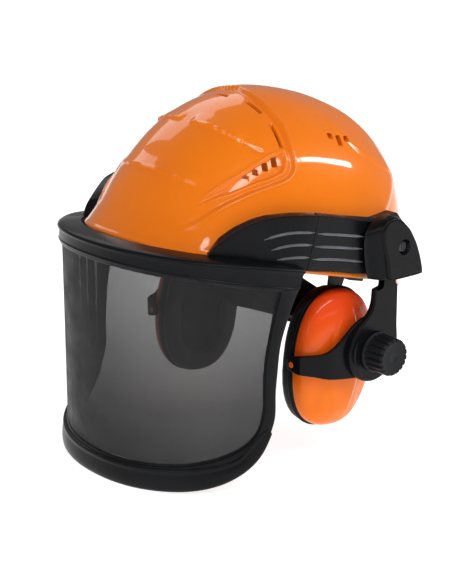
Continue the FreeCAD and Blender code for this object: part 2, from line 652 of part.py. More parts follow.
# ---------------------------------------------------------------- assembly
def build():
    parts = {}
    shell, inner_dome = make_shell()
    shell = tilted(shell)
    for y in SCREW_YS:
        shell = shell.cut(rod("x", -130.0, 130.0, 2.05, y, SCREW_Z))
    parts["shell"] = one(shell)
    parts["headband"] = tilted(make_headband())
    parts["sweatband"] = tilted(make_sweatband())
    parts["nape_strap"] = tilted(make_nape_strap())
    parts["nape_pad"] = tilted(make_nape_pad())
    parts["ratchet_housing"] = tilted(make_ratchet_housing())
    parts["ratchet_knob"] = tilted(make_ratchet_knob())
    parts["crown_strap_long"] = tilted(make_long_strap())
    parts["crown_strap_cross"] = tilted(make_cross_strap())
    parts["crown_pad"] = tilted(make_crown_pad())
    parts["strap_anchor_front"] = tilted(make_end_anchor(True, inner_dome))
    parts["strap_anchor_rear"] = tilted(make_end_anchor(False, inner_dome))
    parts["band_hanger_front"] = tilted(make_front_hanger())
    outer_dome = tilted(dome(PANEL_STEP))
    pairs = {
        "strap_anchor": tilted(make_side_anchor(inner_dome)),
        "band_hanger": tilted(make_hanger()),
        "side_bracket": make_bracket(outer_dome),
        "friction_washer": make_washer(),
        "pivot_screw": make_pivot_screw(),
        "muff_carrier": make_cap(),
        "swing_pin": make_hinge_pin(),
        "visor_arm_rear": make_arm_rear(),
        "visor_arm_front": make_arm_front(),
        "muff_arm": make_muff_arm(),
        "clamp_stud": make_stud(),
        "yoke": make_yoke(),
        "clamp_knob": make_knob(),
        "cup_shell": make_cup(),
        "cup_back_plate": make_back_plate(),
        "ear_cushion": make_cushion(),
        "cup_liner": make_liner(),
    }
    for name, shape in pairs.items():
        parts[name + "_left"] = shape
        parts[name + "_right"] = mirrored(shape)
    screws = [make_bracket_screw(y) for y in SCREW_YS]
    parts["bracket_screws"] = Part.makeCompound(screws + [mirrored(s) for s in screws])
    parts["visor_band"] = make_band()
    parts["visor_frame"] = make_frame()
    parts["visor_mesh"] = make_mesh()
    parts["chin_guard"] = make_chin_guard()
    return parts


os.makedirs("parts", exist_ok=True)
for part_name, part_shape in build().items():
    part_shape.exportStep("parts/" + part_name + ".step")
    size = part_shape.BoundBox
    print(part_name, len(part_shape.Solids), part_shape.isValid(), round(part_shape.Volume / 1000.0, 2),
          [round(v, 1) for v in (size.XMin, size.XMax, size.YMin, size.YMax, size.ZMin, size.ZMax)])
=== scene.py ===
"""Forestry helmet: the visual model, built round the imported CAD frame."""
import json
import math

import bmesh
import bpy
import numpy as np
from mathutils import Matrix, Vector
from mathutils.kdtree import KDTree


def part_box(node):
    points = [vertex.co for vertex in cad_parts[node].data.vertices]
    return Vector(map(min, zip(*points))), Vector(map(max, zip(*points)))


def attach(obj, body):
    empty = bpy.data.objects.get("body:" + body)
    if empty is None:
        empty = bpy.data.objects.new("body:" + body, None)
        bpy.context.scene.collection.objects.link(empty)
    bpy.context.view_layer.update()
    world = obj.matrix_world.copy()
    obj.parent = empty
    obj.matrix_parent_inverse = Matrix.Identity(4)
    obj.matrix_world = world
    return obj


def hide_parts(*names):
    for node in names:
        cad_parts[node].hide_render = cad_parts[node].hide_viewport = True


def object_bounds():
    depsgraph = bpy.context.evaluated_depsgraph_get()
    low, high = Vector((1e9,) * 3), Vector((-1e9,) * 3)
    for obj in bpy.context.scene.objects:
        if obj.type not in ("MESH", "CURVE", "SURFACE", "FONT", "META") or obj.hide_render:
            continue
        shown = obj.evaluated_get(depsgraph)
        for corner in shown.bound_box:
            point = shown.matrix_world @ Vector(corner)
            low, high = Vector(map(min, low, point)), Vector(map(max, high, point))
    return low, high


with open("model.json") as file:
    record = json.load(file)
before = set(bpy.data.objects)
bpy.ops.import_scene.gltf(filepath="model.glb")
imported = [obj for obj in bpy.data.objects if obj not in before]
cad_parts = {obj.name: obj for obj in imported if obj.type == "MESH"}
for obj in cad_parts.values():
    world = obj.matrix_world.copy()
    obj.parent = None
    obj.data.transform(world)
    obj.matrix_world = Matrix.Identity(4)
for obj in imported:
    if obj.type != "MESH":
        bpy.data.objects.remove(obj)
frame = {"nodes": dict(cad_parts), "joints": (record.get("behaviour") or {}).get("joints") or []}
CAD_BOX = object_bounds()

# ------------------------------------------------------------------ driving sizes, mm
# x is the wearer's left, -y the front, +z up.
MM = 0.001


def box_mm(node):
    low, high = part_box(node)
    return np.array(low) / MM, np.array(high) / MM


JOINT = {joint["name"]: joint for joint in frame["joints"]}
PIVOT = np.array(JOINT["visor_lift"]["pos_m"]) / MM
SWING = np.array(JOINT["muff_swing_left"]["pos_m"]) / MM
STUD = np.array(JOINT["yoke_turn_left"]["pos_m"]) / MM
TILT_AXIS = JOINT["nape_slide"]["axis"]
TILT_COS = TILT_AXIS[1]
TILT_SIN = TILT_AXIS[2]

BAND_LOW, BAND_HIGH = box_mm("visor_band")
VISOR_W = BAND_HIGH[0]
VISOR_FRONT = BAND_LOW[1]
VISOR_REAR = -30.0
VISOR_POWER = 2.15
KNOB_LOW, KNOB_HIGH = box_mm("clamp_knob_left")
CUP_Y = 22.0
CUP_Z = -80.0
CUP_LEAN = math.radians(-6.0)
CUP_POWER = 2.4
BAND_W = 73.0             # half width of the headband
CROSS_Y = 49.0            # station of the cross strap


# ------------------------------------------------------------------ curves and outlines
def spline(points, count=None, pitch=None):
    """Natural cubic through the points, resampled evenly."""
    p = np.asarray(points, float)
    t = np.concatenate([[0.0], np.cumsum(np.linalg.norm(np.diff(p, axis=0), axis=1))])
    n = len(p)
    h = np.diff(t)
    a = np.eye(n)
    b = np.zeros_like(p)
    for i in range(1, n - 1):
        a[i, i - 1:i + 2] = h[i - 1], 2 * (h[i - 1] + h[i]), h[i]
        b[i] = 6 * ((p[i + 1] - p[i]) / h[i] - (p[i] - p[i - 1]) / h[i - 1])
    m = np.linalg.solve(a, b)
    if pitch:
        count = max(2, int(t[-1] / pitch) + 1)
    u = np.linspace(0, t[-1], count)
    k = np.clip(np.searchsorted(t, u, side="right") - 1, 0, n - 2)
    hk = h[k][:, None]
    r = (t[k + 1] - u)[:, None]
    q = (u - t[k])[:, None]
    return (m[k] * r ** 3 / (6 * hk) + m[k + 1] * q ** 3 / (6 * hk)
            + (p[k] / hk - m[k] * hk / 6) * r + (p[k + 1] / hk - m[k + 1] * hk / 6) * q)


def rounded(points, radius, steps=5):
    """Closed outline with each corner turned into a curve."""
    p = [np.asarray(q, float) for q in points]
    out = []
    for i, corner in enumerate(p):
        before = p[i - 1] - corner
        after = p[(i + 1) % len(p)] - corner
        cut = min(radius, 0.45 * np.linalg.norm(before), 0.45 * np.linalg.norm(after))
        start = corner + before / np.linalg.norm(before) * cut
        end = corner + after / np.linalg.norm(after) * cut
        for k in range(steps + 1):
            t = k / steps
            out.append((1 - t) ** 2 * start + 2 * t * (1 - t) * corner + t * t * end)
    return np.array(out)


def even(outline, pitch):
    """Closed outline resampled to short edges, counter-clockwise."""
    p = np.asarray(outline, float)
    closed = np.vstack([p, p[:1]])
    t = np.concatenate([[0.0], np.cumsum(np.linalg.norm(np.diff(closed, axis=0), axis=1))])
    count = max(8, int(t[-1] / pitch))
    u = np.linspace(0, t[-1], count, endpoint=False)
    q = np.column_stack([np.interp(u, t, closed[:, k]) for k in range(2)])
    area = np.sum(q[:, 0] * np.roll(q[:, 1], -1) - np.roll(q[:, 0], -1) * q[:, 1])
    return q if area > 0 else q[::-1]


def inset(outline, amount):
    """Counter-clockwise outline moved inwards along its own normals."""
    ahead = np.roll(outline, -1, axis=0) - outline
    ahead /= np.linalg.norm(ahead, axis=1)[:, None] + 1e-12
    back = np.roll(ahead, 1, axis=0)
    normal = np.column_stack([-(ahead[:, 1] + back[:, 1]), ahead[:, 0] + back[:, 0]])
    normal /= np.linalg.norm(normal, axis=1)[:, None] + 1e-12
    return outline + normal * amount


def step(x, low, high):
    """Smooth rise from 0 at low to 1 at high."""
    t = np.clip((x - low) / (high - low), 0.0, 1.0)
    return t * t * (3 - 2 * t)


def bulge(wave, power):
    """Cosine or sine drawn towards the corners of a square."""
    return np.sign(wave) * np.abs(wave) ** power


def height_on(line, y):
    """Second coordinate of a line at a station along its first."""
    return np.interp(y, [q[0] for q in line], [q[1] for q in line])


class Rail:
    """A plan curve; a place on it is (length along it, second coordinate, outward offset)."""

    def __init__(self, points):
        self.p = np.asarray(points, float)
        gaps = np.linalg.norm(np.diff(self.p, axis=0), axis=1)
        self.s = np.concatenate([[0.0], np.cumsum(gaps)])
        tangent = np.gradient(self.p, self.s, axis=0)
        tangent /= np.linalg.norm(tangent, axis=1)[:, None]
        self.n = np.column_stack([tangent[:, 1], -tangent[:, 0]])
        self.length = self.s[-1]

    def at(self, s, d):
        s = np.asarray(s, float)
        d = np.asarray(d, float)
        p = np.column_stack([np.interp(s, self.s, self.p[:, k]) for k in range(2)])
        n = np.column_stack([np.interp(s, self.s, self.n[:, k]) for k in range(2)])
        over = np.where(s > self.length, s - self.length, np.minimum(s, 0.0))
        end = np.where((s > self.length)[:, None], self.p[-1] - self.p[-2], self.p[1] - self.p[0])
        end = end / np.linalg.norm(end, axis=1)[:, None]
        return p + n * d[:, None] + end * over[:, None]

    def place(self, s, z, d):
        q = self.at(s, d)
        return np.column_stack([q, np.asarray(z, float)])

    def s_of_y(self, y):
        """Length at a y on the left half, where y grows towards the rear."""
        half = self.p[:, 0] > 0
        return np.interp(y, self.p[half][:, 1], self.s[half])


# ------------------------------------------------------------------ mesh pieces
class Skin:
    """Points and faces of one piece, in mm."""

    def __init__(self):
        self.points = np.zeros((0, 3))
        self.faces = []

    def add(self, points, faces):
        start = len(self.points)
        self.points = np.vstack([self.points, np.asarray(points, float)])
        self.faces += [[i + start for i in face] for face in faces]
        return self

    def join(self, other):
        return self.add(other.points, other.faces)

    def mirrored(self):
        skin = Skin()
        return skin.add(self.points * [-1, 1, 1], [face[::-1] for face in self.faces])

    def moved(self, change):
        skin = Skin()
        return skin.add(change(self.points), self.faces)


def rows_skin(rows, loop=True, ends=True, ring=False):
    """Skin over equal rows of points; loop closes each row, ring closes the rows."""
    rows = np.asarray(rows, float)
    count, width = rows.shape[:2]
    faces = []
    for i in range(count if ring else count - 1):
        a = i * width
        b = (i + 1) % count * width
        for j in range(width if loop else width - 1):
            k = (j + 1) % width
            faces.append([a + j, a + k, b + k, b + j])
    if ends and loop and not ring:
        faces.append(list(range(width))[::-1])
        faces.append([(count - 1) * width + j for j in range(width)])
    return Skin().add(rows.reshape(-1, 3), faces)


def slab(outline, front, back, radius, back_radius=0.4, bends=4):
    """Plate between two offsets with rounded edges; its points are (s, z, d)."""
    rings = [(inset(outline, back_radius), back)]
    rings.append((outline, back + back_radius))
    for k in range(bends + 1):
        a = math.pi / 2 * k / bends
        rings.append((inset(outline, radius * (1 - math.cos(a))), front - radius * (1 - math.sin(a))))
    rows = [np.column_stack([ring, np.full(len(ring), d)]) for ring, d in rings]
    return rows_skin(rows)


def sliced(skin, pitch):
    """Cuts a skin across its first coordinate, so that it can follow a curve."""
    bm = bmesh.new()
    verts = [bm.verts.new(p) for p in skin.points]
    for face in skin.faces:
        bm.faces.new([verts[i] for i in face])
    low = skin.points[:, 0].min()
    high = skin.points[:, 0].max()
    for s in np.arange(low + pitch / 2, high, pitch):
        geometry = bm.verts[:] + bm.edges[:] + bm.faces[:]
        bmesh.ops.bisect_plane(bm, geom=geometry, plane_co=(s, 0, 0), plane_no=(1, 0, 0), dist=1e-4)
    bm.verts.index_update()
    out = Skin().add([v.co[:] for v in bm.verts], [[v.index for v in f.verts] for f in bm.faces])
    bm.free()
    return out


def on_rail(skin, rail, pitch=3.0):
    return sliced(skin, pitch).moved(lambda p: rail.place(p[:, 0], p[:, 1], p[:, 2]))


def side_plate(skin):
    """(y, z, x) points of a flat side plate as (x, y, z)."""
    return skin.moved(lambda p: p[:, [2, 0, 1]])


def tube(path, radius, sides=10, squash=1.0, up=(1.0, 0.0, 0.0)):
    """Round bar along a path; radius is one number or one for each point."""
    path = np.asarray(path, float)
    radius = np.broadcast_to(np.asarray(radius, float), (len(path),))
    run = np.gradient(path, axis=0)
    run /= np.linalg.norm(run, axis=1)[:, None]
    side = np.cross(run, np.asarray(up, float))
    side /= np.linalg.norm(side, axis=1)[:, None]
    lift = np.cross(side, run)
    a = 2 * math.pi * np.arange(sides) / sides
    rows = (path[:, None] + radius[:, None, None] * (np.cos(a)[None, :, None] * side[:, None]
            + squash * np.sin(a)[None, :, None] * lift[:, None]))
    return rows_skin(rows)


def scallops(ribs, depth, start, end, loss, rim):
    """Wave for turned(): broad ribs with narrow flutes, on the parts wider than rim."""
    def wave(angle, place, radius):
        flute = np.clip(np.cos(ribs * angle), 0, 1) ** 1.5
        fade = step(place, *start) * (1 - step(place, *end) * loss)
        return radius - (depth * flute * fade if radius > rim else 0.0)

    return wave


def taper(count, full, tip=0.25, share=0.18):
    """Radius of a rib that thins out at both ends."""
    t = np.linspace(0, 1, count)
    return full * (tip + (1 - tip) * step(np.minimum(t, 1 - t), 0, share))


def turned(profile, sides, centre, axis="x", wave=None):
    """Solid of revolution about a line; profile is (distance along, radius) pairs."""
    a = 2 * math.pi * np.arange(sides) / sides
    rows = []
    for place, radius in profile:
        r = np.full(sides, radius) if wave is None else wave(a, place, radius)
        u = r * np.cos(a)
        v = r * np.sin(a)
        w = np.full(sides, place)
        cols = (w, u, v) if axis == "x" else (u, w, v)
        rows.append(np.column_stack(cols) + centre)
    return rows_skin(rows)


def tilted(points):
    """Helmet axes, with the rim plane level, to the row frame."""
    x, y, z = points[:, 0], points[:, 1], points[:, 2]
    return np.column_stack([x, y * TILT_COS - z * TILT_SIN, y * TILT_SIN + z * TILT_COS])


def leaned(points):
    """The ear cup's own axes to the row frame."""
    y = points[:, 1] - CUP_Y
    z = points[:, 2] - CUP_Z
    c, s = math.cos(CUP_LEAN), math.sin(CUP_LEAN)
    return np.column_stack([points[:, 0], CUP_Y + y * c - z * s, CUP_Z + y * s + z * c])


def make_object(name, skin, material, sharp=32.0):
    """Object from a skin, welded and smooth up to the sharp angle in degrees."""
    mesh = bpy.data.meshes.new(name)
    mesh.from_pydata((skin.points * MM).tolist(), [], skin.faces)
    bm = bmesh.new()
    bm.from_mesh(mesh)
    bmesh.ops.remove_doubles(bm, verts=bm.verts, dist=1e-6)
    bmesh.ops.dissolve_degenerate(bm, dist=1e-6, edges=bm.edges)
    bmesh.ops.recalc_face_normals(bm, faces=bm.faces)
    bm.to_mesh(mesh)
    bm.free()
    mesh.shade_smooth()
    mesh.set_sharp_from_angle(angle=math.radians(sharp))
    mesh.materials.append(material)
    obj = bpy.data.objects.new(name, mesh)
    bpy.context.scene.collection.objects.link(obj)
    return obj


def carve(obj, cutter):
    """Cuts one object out of another and returns the mesh that is left."""
    cut = obj.modifiers.new("cut", "BOOLEAN")
    cut.operation = "DIFFERENCE"
    cut.solver = "MANIFOLD"
    cut.object = cutter
    mesh = bpy.data.meshes.new_from_object(obj.evaluated_get(bpy.context.evaluated_depsgraph_get()))
    obj.modifiers.clear()
    bpy.data.objects.remove(cutter)
    return mesh


def points_of(obj):
    """Places of an object's points, in mm."""
    return np.array([v.co for v in obj.data.vertices]) / MM


def reshape(obj, points):
    """Moves an object's points, given in mm, and subdivides it once."""
    obj.data.vertices.foreach_set("co", (points * MM).astype(np.float32).ravel())
    smooth = obj.modifiers.new("smooth", "SUBSURF")
    smooth.levels = smooth.render_levels = 1


def weighted(obj):
    """Flat faces keep flat shading beside rounded edges."""
    modifier = obj.modifiers.new("weighted", "WEIGHTED_NORMAL")
    modifier.keep_sharp = True
    return obj


def fit(obj, body, slot, *nodes):
    """The body a piece rides on and the CAD nodes it stands for; the material slot is not used."""
    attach(obj, body)
    if nodes:
        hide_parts(*nodes)
    return obj


def both_sides(name, skin, material, body, slot, nodes=(), sharp=32.0, flat=True):
    """The left piece and its mirror image; {} in a name becomes the side."""
    made = []
    for side in ("left", "right"):
        own = skin if side == "left" else skin.mirrored()
        obj = make_object(name.format(side), own, material, sharp)
        if flat:
            weighted(obj)
        made.append(fit(obj, body.format(side), slot, *[node.format(side) for node in nodes]))
    return made


# ------------------------------------------------------------------ materials
def shade(colour, gain, lift=0.0):
    """A colour made lighter or darker."""
    return tuple(c * gain + lift for c in colour)


class Paint:
    """A Principled material with its node tree at hand."""

    def __init__(self, name, colour, rough, metallic=0.0, specular=0.5):
        self.material = bpy.data.materials.new(name)
        self.material.use_nodes = True
        self.tree = self.material.node_tree
        self.shader = self.tree.nodes["Principled BSDF"]
        self.shader.inputs["Base Color"].default_value = (*colour, 1)
        self.shader.inputs["Roughness"].default_value = rough
        self.shader.inputs["Metallic"].default_value = metallic
        self.shader.inputs["Specular IOR Level"].default_value = specular
        self.place = self.node("ShaderNodeTexCoord").outputs["Object"]
        self.height = None

    def node(self, kind, **values):
        node = self.tree.nodes.new(kind)
        for key, value in values.items():
            setattr(node, key, value)
        return node

    def link(self, a, b):
        self.tree.links.new(a, b)

    def math(self, operation, a, b=None, c=None):
        node = self.node("ShaderNodeMath", operation=operation)
        for i, value in enumerate((a, b, c)):
            if isinstance(value, (int, float)):
                node.inputs[i].default_value = value
            elif value is not None:
                self.link(value, node.inputs[i])
        return node.outputs[0]

    def noise(self, scale, detail=4.0, rough=0.55, stretch=None):
        node = self.node("ShaderNodeTexNoise")
        node.inputs["Scale"].default_value = scale
        node.inputs["Detail"].default_value = detail
        node.inputs["Roughness"].default_value = rough
        if stretch:
            scaled = self.node("ShaderNodeMapping")
            scaled.inputs["Scale"].default_value = stretch
            self.link(self.place, scaled.inputs["Vector"])
            self.link(scaled.outputs["Vector"], node.inputs["Vector"])
        else:
            self.link(self.place, node.inputs["Vector"])
        return node.outputs["Fac"]

    def axes(self):
        node = self.node("ShaderNodeSeparateXYZ")
        self.link(self.place, node.inputs["Vector"])
        return [node.outputs[key] for key in "XYZ"]

    def wave(self, value, turns):
        return self.math("SINE", self.math("MULTIPLY", value, turns))

    def voronoi(self, scale, feature="F1"):
        node = self.node("ShaderNodeTexVoronoi", feature=feature)
        node.inputs["Scale"].default_value = scale
        self.link(self.place, node.inputs["Vector"])
        return node.outputs["Distance"]

    def spread(self, value, low, high, out_low, out_high):
        node = self.node("ShaderNodeMapRange")
        self.link(value, node.inputs["Value"])
        limits = {"From Min": low, "From Max": high, "To Min": out_low, "To Max": out_high}
        for key, number in limits.items():
            node.inputs[key].default_value = number
        return node.outputs["Result"]

    def mixed(self, factor, first, second):
        node = self.node("ShaderNodeMix", data_type="RGBA")
        self.link(factor, node.inputs["Factor"])
        for socket, value in ((node.inputs[6], first), (node.inputs[7], second)):
            if isinstance(value, tuple):
                socket.default_value = (*value, 1)
            else:
                self.link(value, socket)
        return node.outputs[2]

    def colour(self, value):
        self.link(value, self.shader.inputs["Base Color"])

    def roughness(self, value):
        self.link(value, self.shader.inputs["Roughness"])

    def bump(self, value, distance, strength=1.0):
        node = self.node("ShaderNodeBump")
        node.inputs["Strength"].default_value = strength
        node.inputs["Distance"].default_value = distance * MM
        self.link(value, node.inputs["Height"])
        if self.height:
            self.link(self.height, node.inputs["Normal"])
        self.height = node.outputs["Normal"]
        self.link(self.height, self.shader.inputs["Normal"])

    def edges(self, low=0.53, high=0.62):
        """Share of rubbing and painted highlight along convex edges."""
        node = self.node("ShaderNodeNewGeometry")
        wear_and_highlight = self.spread(node.outputs["Pointiness"], low, high, 0.0, 1.0)
        return self.math("MULTIPLY", wear_and_highlight, self.spread(self.noise(90.0), 0.4, 0.65, 0.2, 1.0))


def gloss_shell(name, colour, deep, rough, coat=1.0, shaded_top=None):
    """High-visibility moulding: clear gloss over a slightly uneven pigment."""
    paint = Paint(name, colour, rough, specular=0.06)
    cloud = paint.spread(paint.noise(9.0, 3.0), 0.3, 0.7, 0.0, 1.0)
    base = paint.mixed(cloud, colour, deep)
    # shaded_top paints a deeper colour on the upper part of the piece: painted shade.
    if shaded_top:
        low, high, top = shaded_top
        base = paint.mixed(paint.spread(paint.axes()[2], low, high, 0.0, 1.0), base, top)
    # Convex edges turn a lighter orange: partly rubbing, partly a painted highlight along them.
    fade = tuple(min(1.0, c * 1.12 + 0.02) for c in colour)
    paint.colour(paint.mixed(paint.edges(0.54, 0.66), base, fade))
    smear = paint.spread(paint.noise(26.0, 6.0), 0.35, 0.75, rough * 0.75, rough * 1.5)
    scratch = paint.spread(paint.noise(60.0, 8.0, 0.7, (1.0, 6.0, 1.0)), 0.66, 0.74, 0.0, 0.12)
    paint.roughness(paint.math("ADD", smear, scratch))
    paint.bump(paint.noise(160.0, 2.0), 0.06, 0.12)
    paint.bump(paint.noise(900.0, 2.0), 0.02, 0.10)
    paint.shader.inputs["Coat Weight"].default_value = coat
    paint.shader.inputs["Coat Roughness"].default_value = 0.06
    paint.shader.inputs["Coat IOR"].default_value = 1.38
    return paint.material


def moulded(name, colour, rough, grain=1400.0, grain_depth=0.05, edge_wear_and_highlight=0.8, specular=0.11):
    """Satin black moulding with spark-eroded grain, and convex edges lightened partly as rubbing, partly as a
    painted highlight.
    """
    paint = Paint(name, colour, rough, specular=specular)
    cloud = paint.spread(paint.noise(22.0, 5.0), 0.35, 0.7, 0.0, 1.0)
    base = paint.mixed(cloud, colour, shade(colour, 1.5, 0.001))
    # Convex edges turn lighter: partly rubbing, partly a painted highlight.
    wear_and_highlight = paint.math("MULTIPLY", paint.edges(), edge_wear_and_highlight)
    paint.colour(paint.mixed(wear_and_highlight, base, shade(colour, 2.4, 0.030)))
    patch = paint.spread(paint.noise(38.0, 6.0), 0.3, 0.75, rough * 0.82, rough * 1.2)
    speck = paint.spread(paint.noise(grain, 2.0), 0.3, 0.7, -0.05, 0.05)
    paint.roughness(paint.math("ADD", patch, speck))
    paint.bump(paint.noise(grain, 3.0), grain_depth, 0.6)
    paint.bump(paint.noise(70.0, 2.0), 0.12, 0.10)
    return paint.material


def leathery(name, colour, rough):
    """Soft vinyl skin with a fine leather grain."""
    paint = Paint(name, colour, rough, specular=0.25)
    cells = paint.voronoi(900.0, "DISTANCE_TO_EDGE")
    creases = paint.spread(cells, 0.0, 0.14, 0.0, 1.0)
    cloud = paint.spread(paint.noise(30.0), 0.35, 0.7, 0.0, 1.0)
    paint.colour(paint.mixed(cloud, colour, shade(colour, 1.7, 0.003)))
    paint.roughness(paint.spread(paint.noise(120.0), 0.3, 0.7, rough * 0.85, rough * 1.2))
    paint.bump(creases, 0.12, 0.5)
    paint.bump(paint.noise(55.0, 4.0), 0.5, 0.25)
    paint.shader.inputs["Sheen Weight"].default_value = 0.12
    return paint.material


def knitted(name, colour, pitch=1.1):
    """Knitted pad cover: rows of small loops."""
    paint = Paint(name, colour, 0.9, specular=0.2)
    x, y, z = paint.axes()
    turns = 2 * math.pi / (pitch * MM)
    across = paint.wave(paint.math("ADD", x, y), turns)
    loops = paint.math("MULTIPLY", across, paint.wave(z, turns * 1.3))
    fuzz = paint.noise(2200.0, 3.0)
    mixed = paint.math("ADD", paint.math("MULTIPLY", loops, 0.5), fuzz)
    paint.colour(paint.mixed(paint.spread(mixed, 0.1, 1.0, 0.0, 1.0), colour, shade(colour, 2.0, 0.01)))
    paint.bump(mixed, 0.22, 0.8)
    paint.shader.inputs["Sheen Weight"].default_value = 0.5
    paint.shader.inputs["Sheen Roughness"].default_value = 0.5
    return paint.material


def woven(name, colour, pitch=1.6):
    """Webbing: ribs across the strap with a herringbone of yarns."""
    paint = Paint(name, colour, 0.75, specular=0.3)
    x, y, z = paint.axes()
    turns = 2 * math.pi / (pitch * MM)
    flow = paint.math("ADD", y, z)
    first = paint.wave(paint.math("ADD", flow, x), turns)
    second = paint.wave(paint.math("SUBTRACT", flow, x), turns)
    yarn = paint.math("MAXIMUM", first, second)
    fuzz = paint.math("MULTIPLY", paint.noise(2600.0), 0.4)
    mixed = paint.math("ADD", yarn, fuzz)
    paint.colour(paint.mixed(paint.spread(mixed, -0.6, 1.3, 0.0, 1.0), colour, shade(colour, 2.4, 0.01)))
    paint.bump(mixed, 0.25, 0.9)
    paint.shader.inputs["Sheen Weight"].default_value = 0.3
    return paint.material


def foam(name, colour):
    """Open-cell foam with darker pores."""
    paint = Paint(name, colour, 0.95, specular=0.15)
    cells = paint.voronoi(1100.0)
    paint.colour(paint.mixed(paint.spread(cells, 0.1, 0.6, 0.0, 1.0), shade(colour, 2.2), colour))
    paint.bump(cells, 0.6, 1.0)
    return paint.material


def brushed(name, colour, rough):
    """Turned or brushed metal."""
    paint = Paint(name, colour, rough, metallic=1.0)
    lines = paint.noise(500.0, 3.0, 0.6, (0.15, 3.0, 3.0))
    paint.roughness(paint.spread(lines, 0.3, 0.7, rough * 0.7, rough * 1.5))
    paint.colour(paint.mixed(paint.noise(40.0), colour, shade(colour, 0.72)))
    paint.bump(lines, 0.02, 0.5)
    return paint.material


def thread_paint(name, colour):
    """Coated mesh thread."""
    paint = Paint(name, colour, 0.5, specular=0.2)
    streak = paint.noise(500.0, 2.0)
    paint.colour(paint.mixed(streak, colour, shade(colour, 1.8)))
    paint.roughness(paint.spread(paint.noise(60.0), 0.3, 0.7, 0.34, 0.55))
    return paint.material


ORANGE = gloss_shell("shell_orange", (0.90, 0.205, 0.001), (0.86, 0.180, 0.001), 0.32)
# The cup's upper part turns a deeper red-orange: painted shade.
CUP_ORANGE = gloss_shell("cup_orange", (0.90, 0.185, 0.003), (0.88, 0.165, 0.003), 0.32, 0.5,
                         (-0.105, -0.035, (0.86, 0.075, 0.010)))
ARM = moulded("arm_black", (0.0030, 0.0032, 0.0040), 0.27)
# The ribs' lighter grey is a painted highlight along the arm ribs.
RIB = moulded("ribs_painted_highlight", (0.075, 0.078, 0.086), 0.30, specular=0.3)
VISOR = moulded("visor_black", (0.0040, 0.0042, 0.0050), 0.30, 1500.0, 0.03)
KNOB = moulded("knob_black", (0.0075, 0.0079, 0.0090), 0.42, 1100.0, 0.06)
HARNESS = moulded("harness_black", (0.0035, 0.0035, 0.0040), 0.40)
GREY = moulded("harness_grey", (0.045, 0.048, 0.053), 0.40)
VINYL = leathery("cushion_black", (0.0035, 0.0035, 0.0040), 0.44)
PAD = knitted("pad_fabric", (0.014, 0.0145, 0.016))
WEBBING = woven("webbing", (0.014, 0.014, 0.016))
FOAM = foam("liner_foam", (0.028, 0.029, 0.033))
STEEL = brushed("steel", (0.56, 0.56, 0.58), 0.28)
DARK_STEEL = brushed("blackened_steel", (0.06, 0.06, 0.065), 0.34)
THREAD = thread_paint("mesh_grey", (0.008, 0.008, 0.009))

# ------------------------------------------------------------------ helmet shell
# Shell stations in helmet axes: height, half width, front, rear.
STATIONS = np.array([
    (-20.0, 110.2, -145.4, 158.6), (-8.0, 109.6, -143.6, 153.8), (0.0, 109.0, -142.0, 150.0),
    (15.0, 107.0, -133.5, 146.0), (35.0, 104.0, -125.0, 144.0), (60.0, 97.0, -113.0, 139.0),
    (85.0, 86.0, -98.0, 129.0), (105.0, 72.0, -81.0, 113.0), (120.0, 56.0, -62.0, 94.0),
    (130.0, 40.0, -44.0, 73.0), (136.0, 24.0, -26.0, 48.0), (138.9, 10.0, -4.5, 25.5),
    (139.5, 0.0, 10.0, 10.0),
])
SHELL_POWER = 2.3
SHELL_MID = 10.0
WALL = 2.6
PANEL_STEP = 1.9
DENSE = spline(STATIONS[::-1], 400)     # from the crown down to below the rim


class Dome:
    """The smooth shell surface; u runs down from the crown, turn goes round it."""

    def __init__(self):
        reach = np.linalg.norm(np.diff(DENSE[:, [0, 1]], axis=0), axis=1)
        self.u = np.concatenate([[0.0], np.cumsum(reach)])

    def at(self, u, turn):
        z, half, front, rear = (np.interp(u, self.u, DENSE[:, k]) for k in range(4))
        c = np.cos(turn)
        s = np.sin(turn)
        r = (np.abs(c) ** SHELL_POWER + np.abs(s) ** SHELL_POWER) ** (-1 / SHELL_POWER)
        span = np.where(s < 0, SHELL_MID - front, rear - SHELL_MID)
        return np.stack([half * r * c, SHELL_MID + span * r * s, z], axis=-1)

    def find(self, points):
        """(u, turn) of points near the surface."""
        p = np.asarray(points, float)
        order = DENSE[::-1]
        u = np.interp(p[:, 2], order[:, 0], self.u[::-1])
        half, front, rear = (np.interp(u, self.u, DENSE[:, k]) for k in (1, 2, 3))
        span = np.where(p[:, 1] < SHELL_MID, SHELL_MID - front, rear - SHELL_MID)
        return u, np.arctan2((p[:, 1] - SHELL_MID) / span, p[:, 0] / half)

    def line(self, points, pitch=1.0, smooth=True):
        """A route over the surface through the points, in 3D, and in the flat map."""
        u, turn = self.find(points)
        flat = np.column_stack([u * np.cos(turn), u * np.sin(turn)])
        flat = spline(flat, pitch=pitch) if smooth else flat
        return self.at(np.hypot(flat[:, 0], flat[:, 1]), np.arctan2(flat[:, 1], flat[:, 0])), flat


DOME = Dome()


def rim_height(y):
    """The rim is level at the brow and sides and drops towards the nape."""
    return np.interp(y, [-220, 55, 95, 130, 220], [0.0, 0.0, -3.0, -11.0, -16.0])


def both_ways(points):
    """A side feature and its mirror image."""
    p = np.asarray(points, float)
    return [p, p * [-1, 1, 1]]


def inside(flat, polygon):
    """Which flat-map points lie inside a closed polygon."""
    x, y = flat[:, 0], flat[:, 1]
    hit = np.zeros(len(flat), bool)
    for (x0, y0), (x1, y1) in zip(polygon, np.roll(polygon, -1, axis=0)):
        if y0 == y1:
            continue
        cross = (y0 > y) != (y1 > y)
        hit ^= cross & (x < (x1 - x0) * (y - y0) / (y1 - y0) + x0)
    return hit


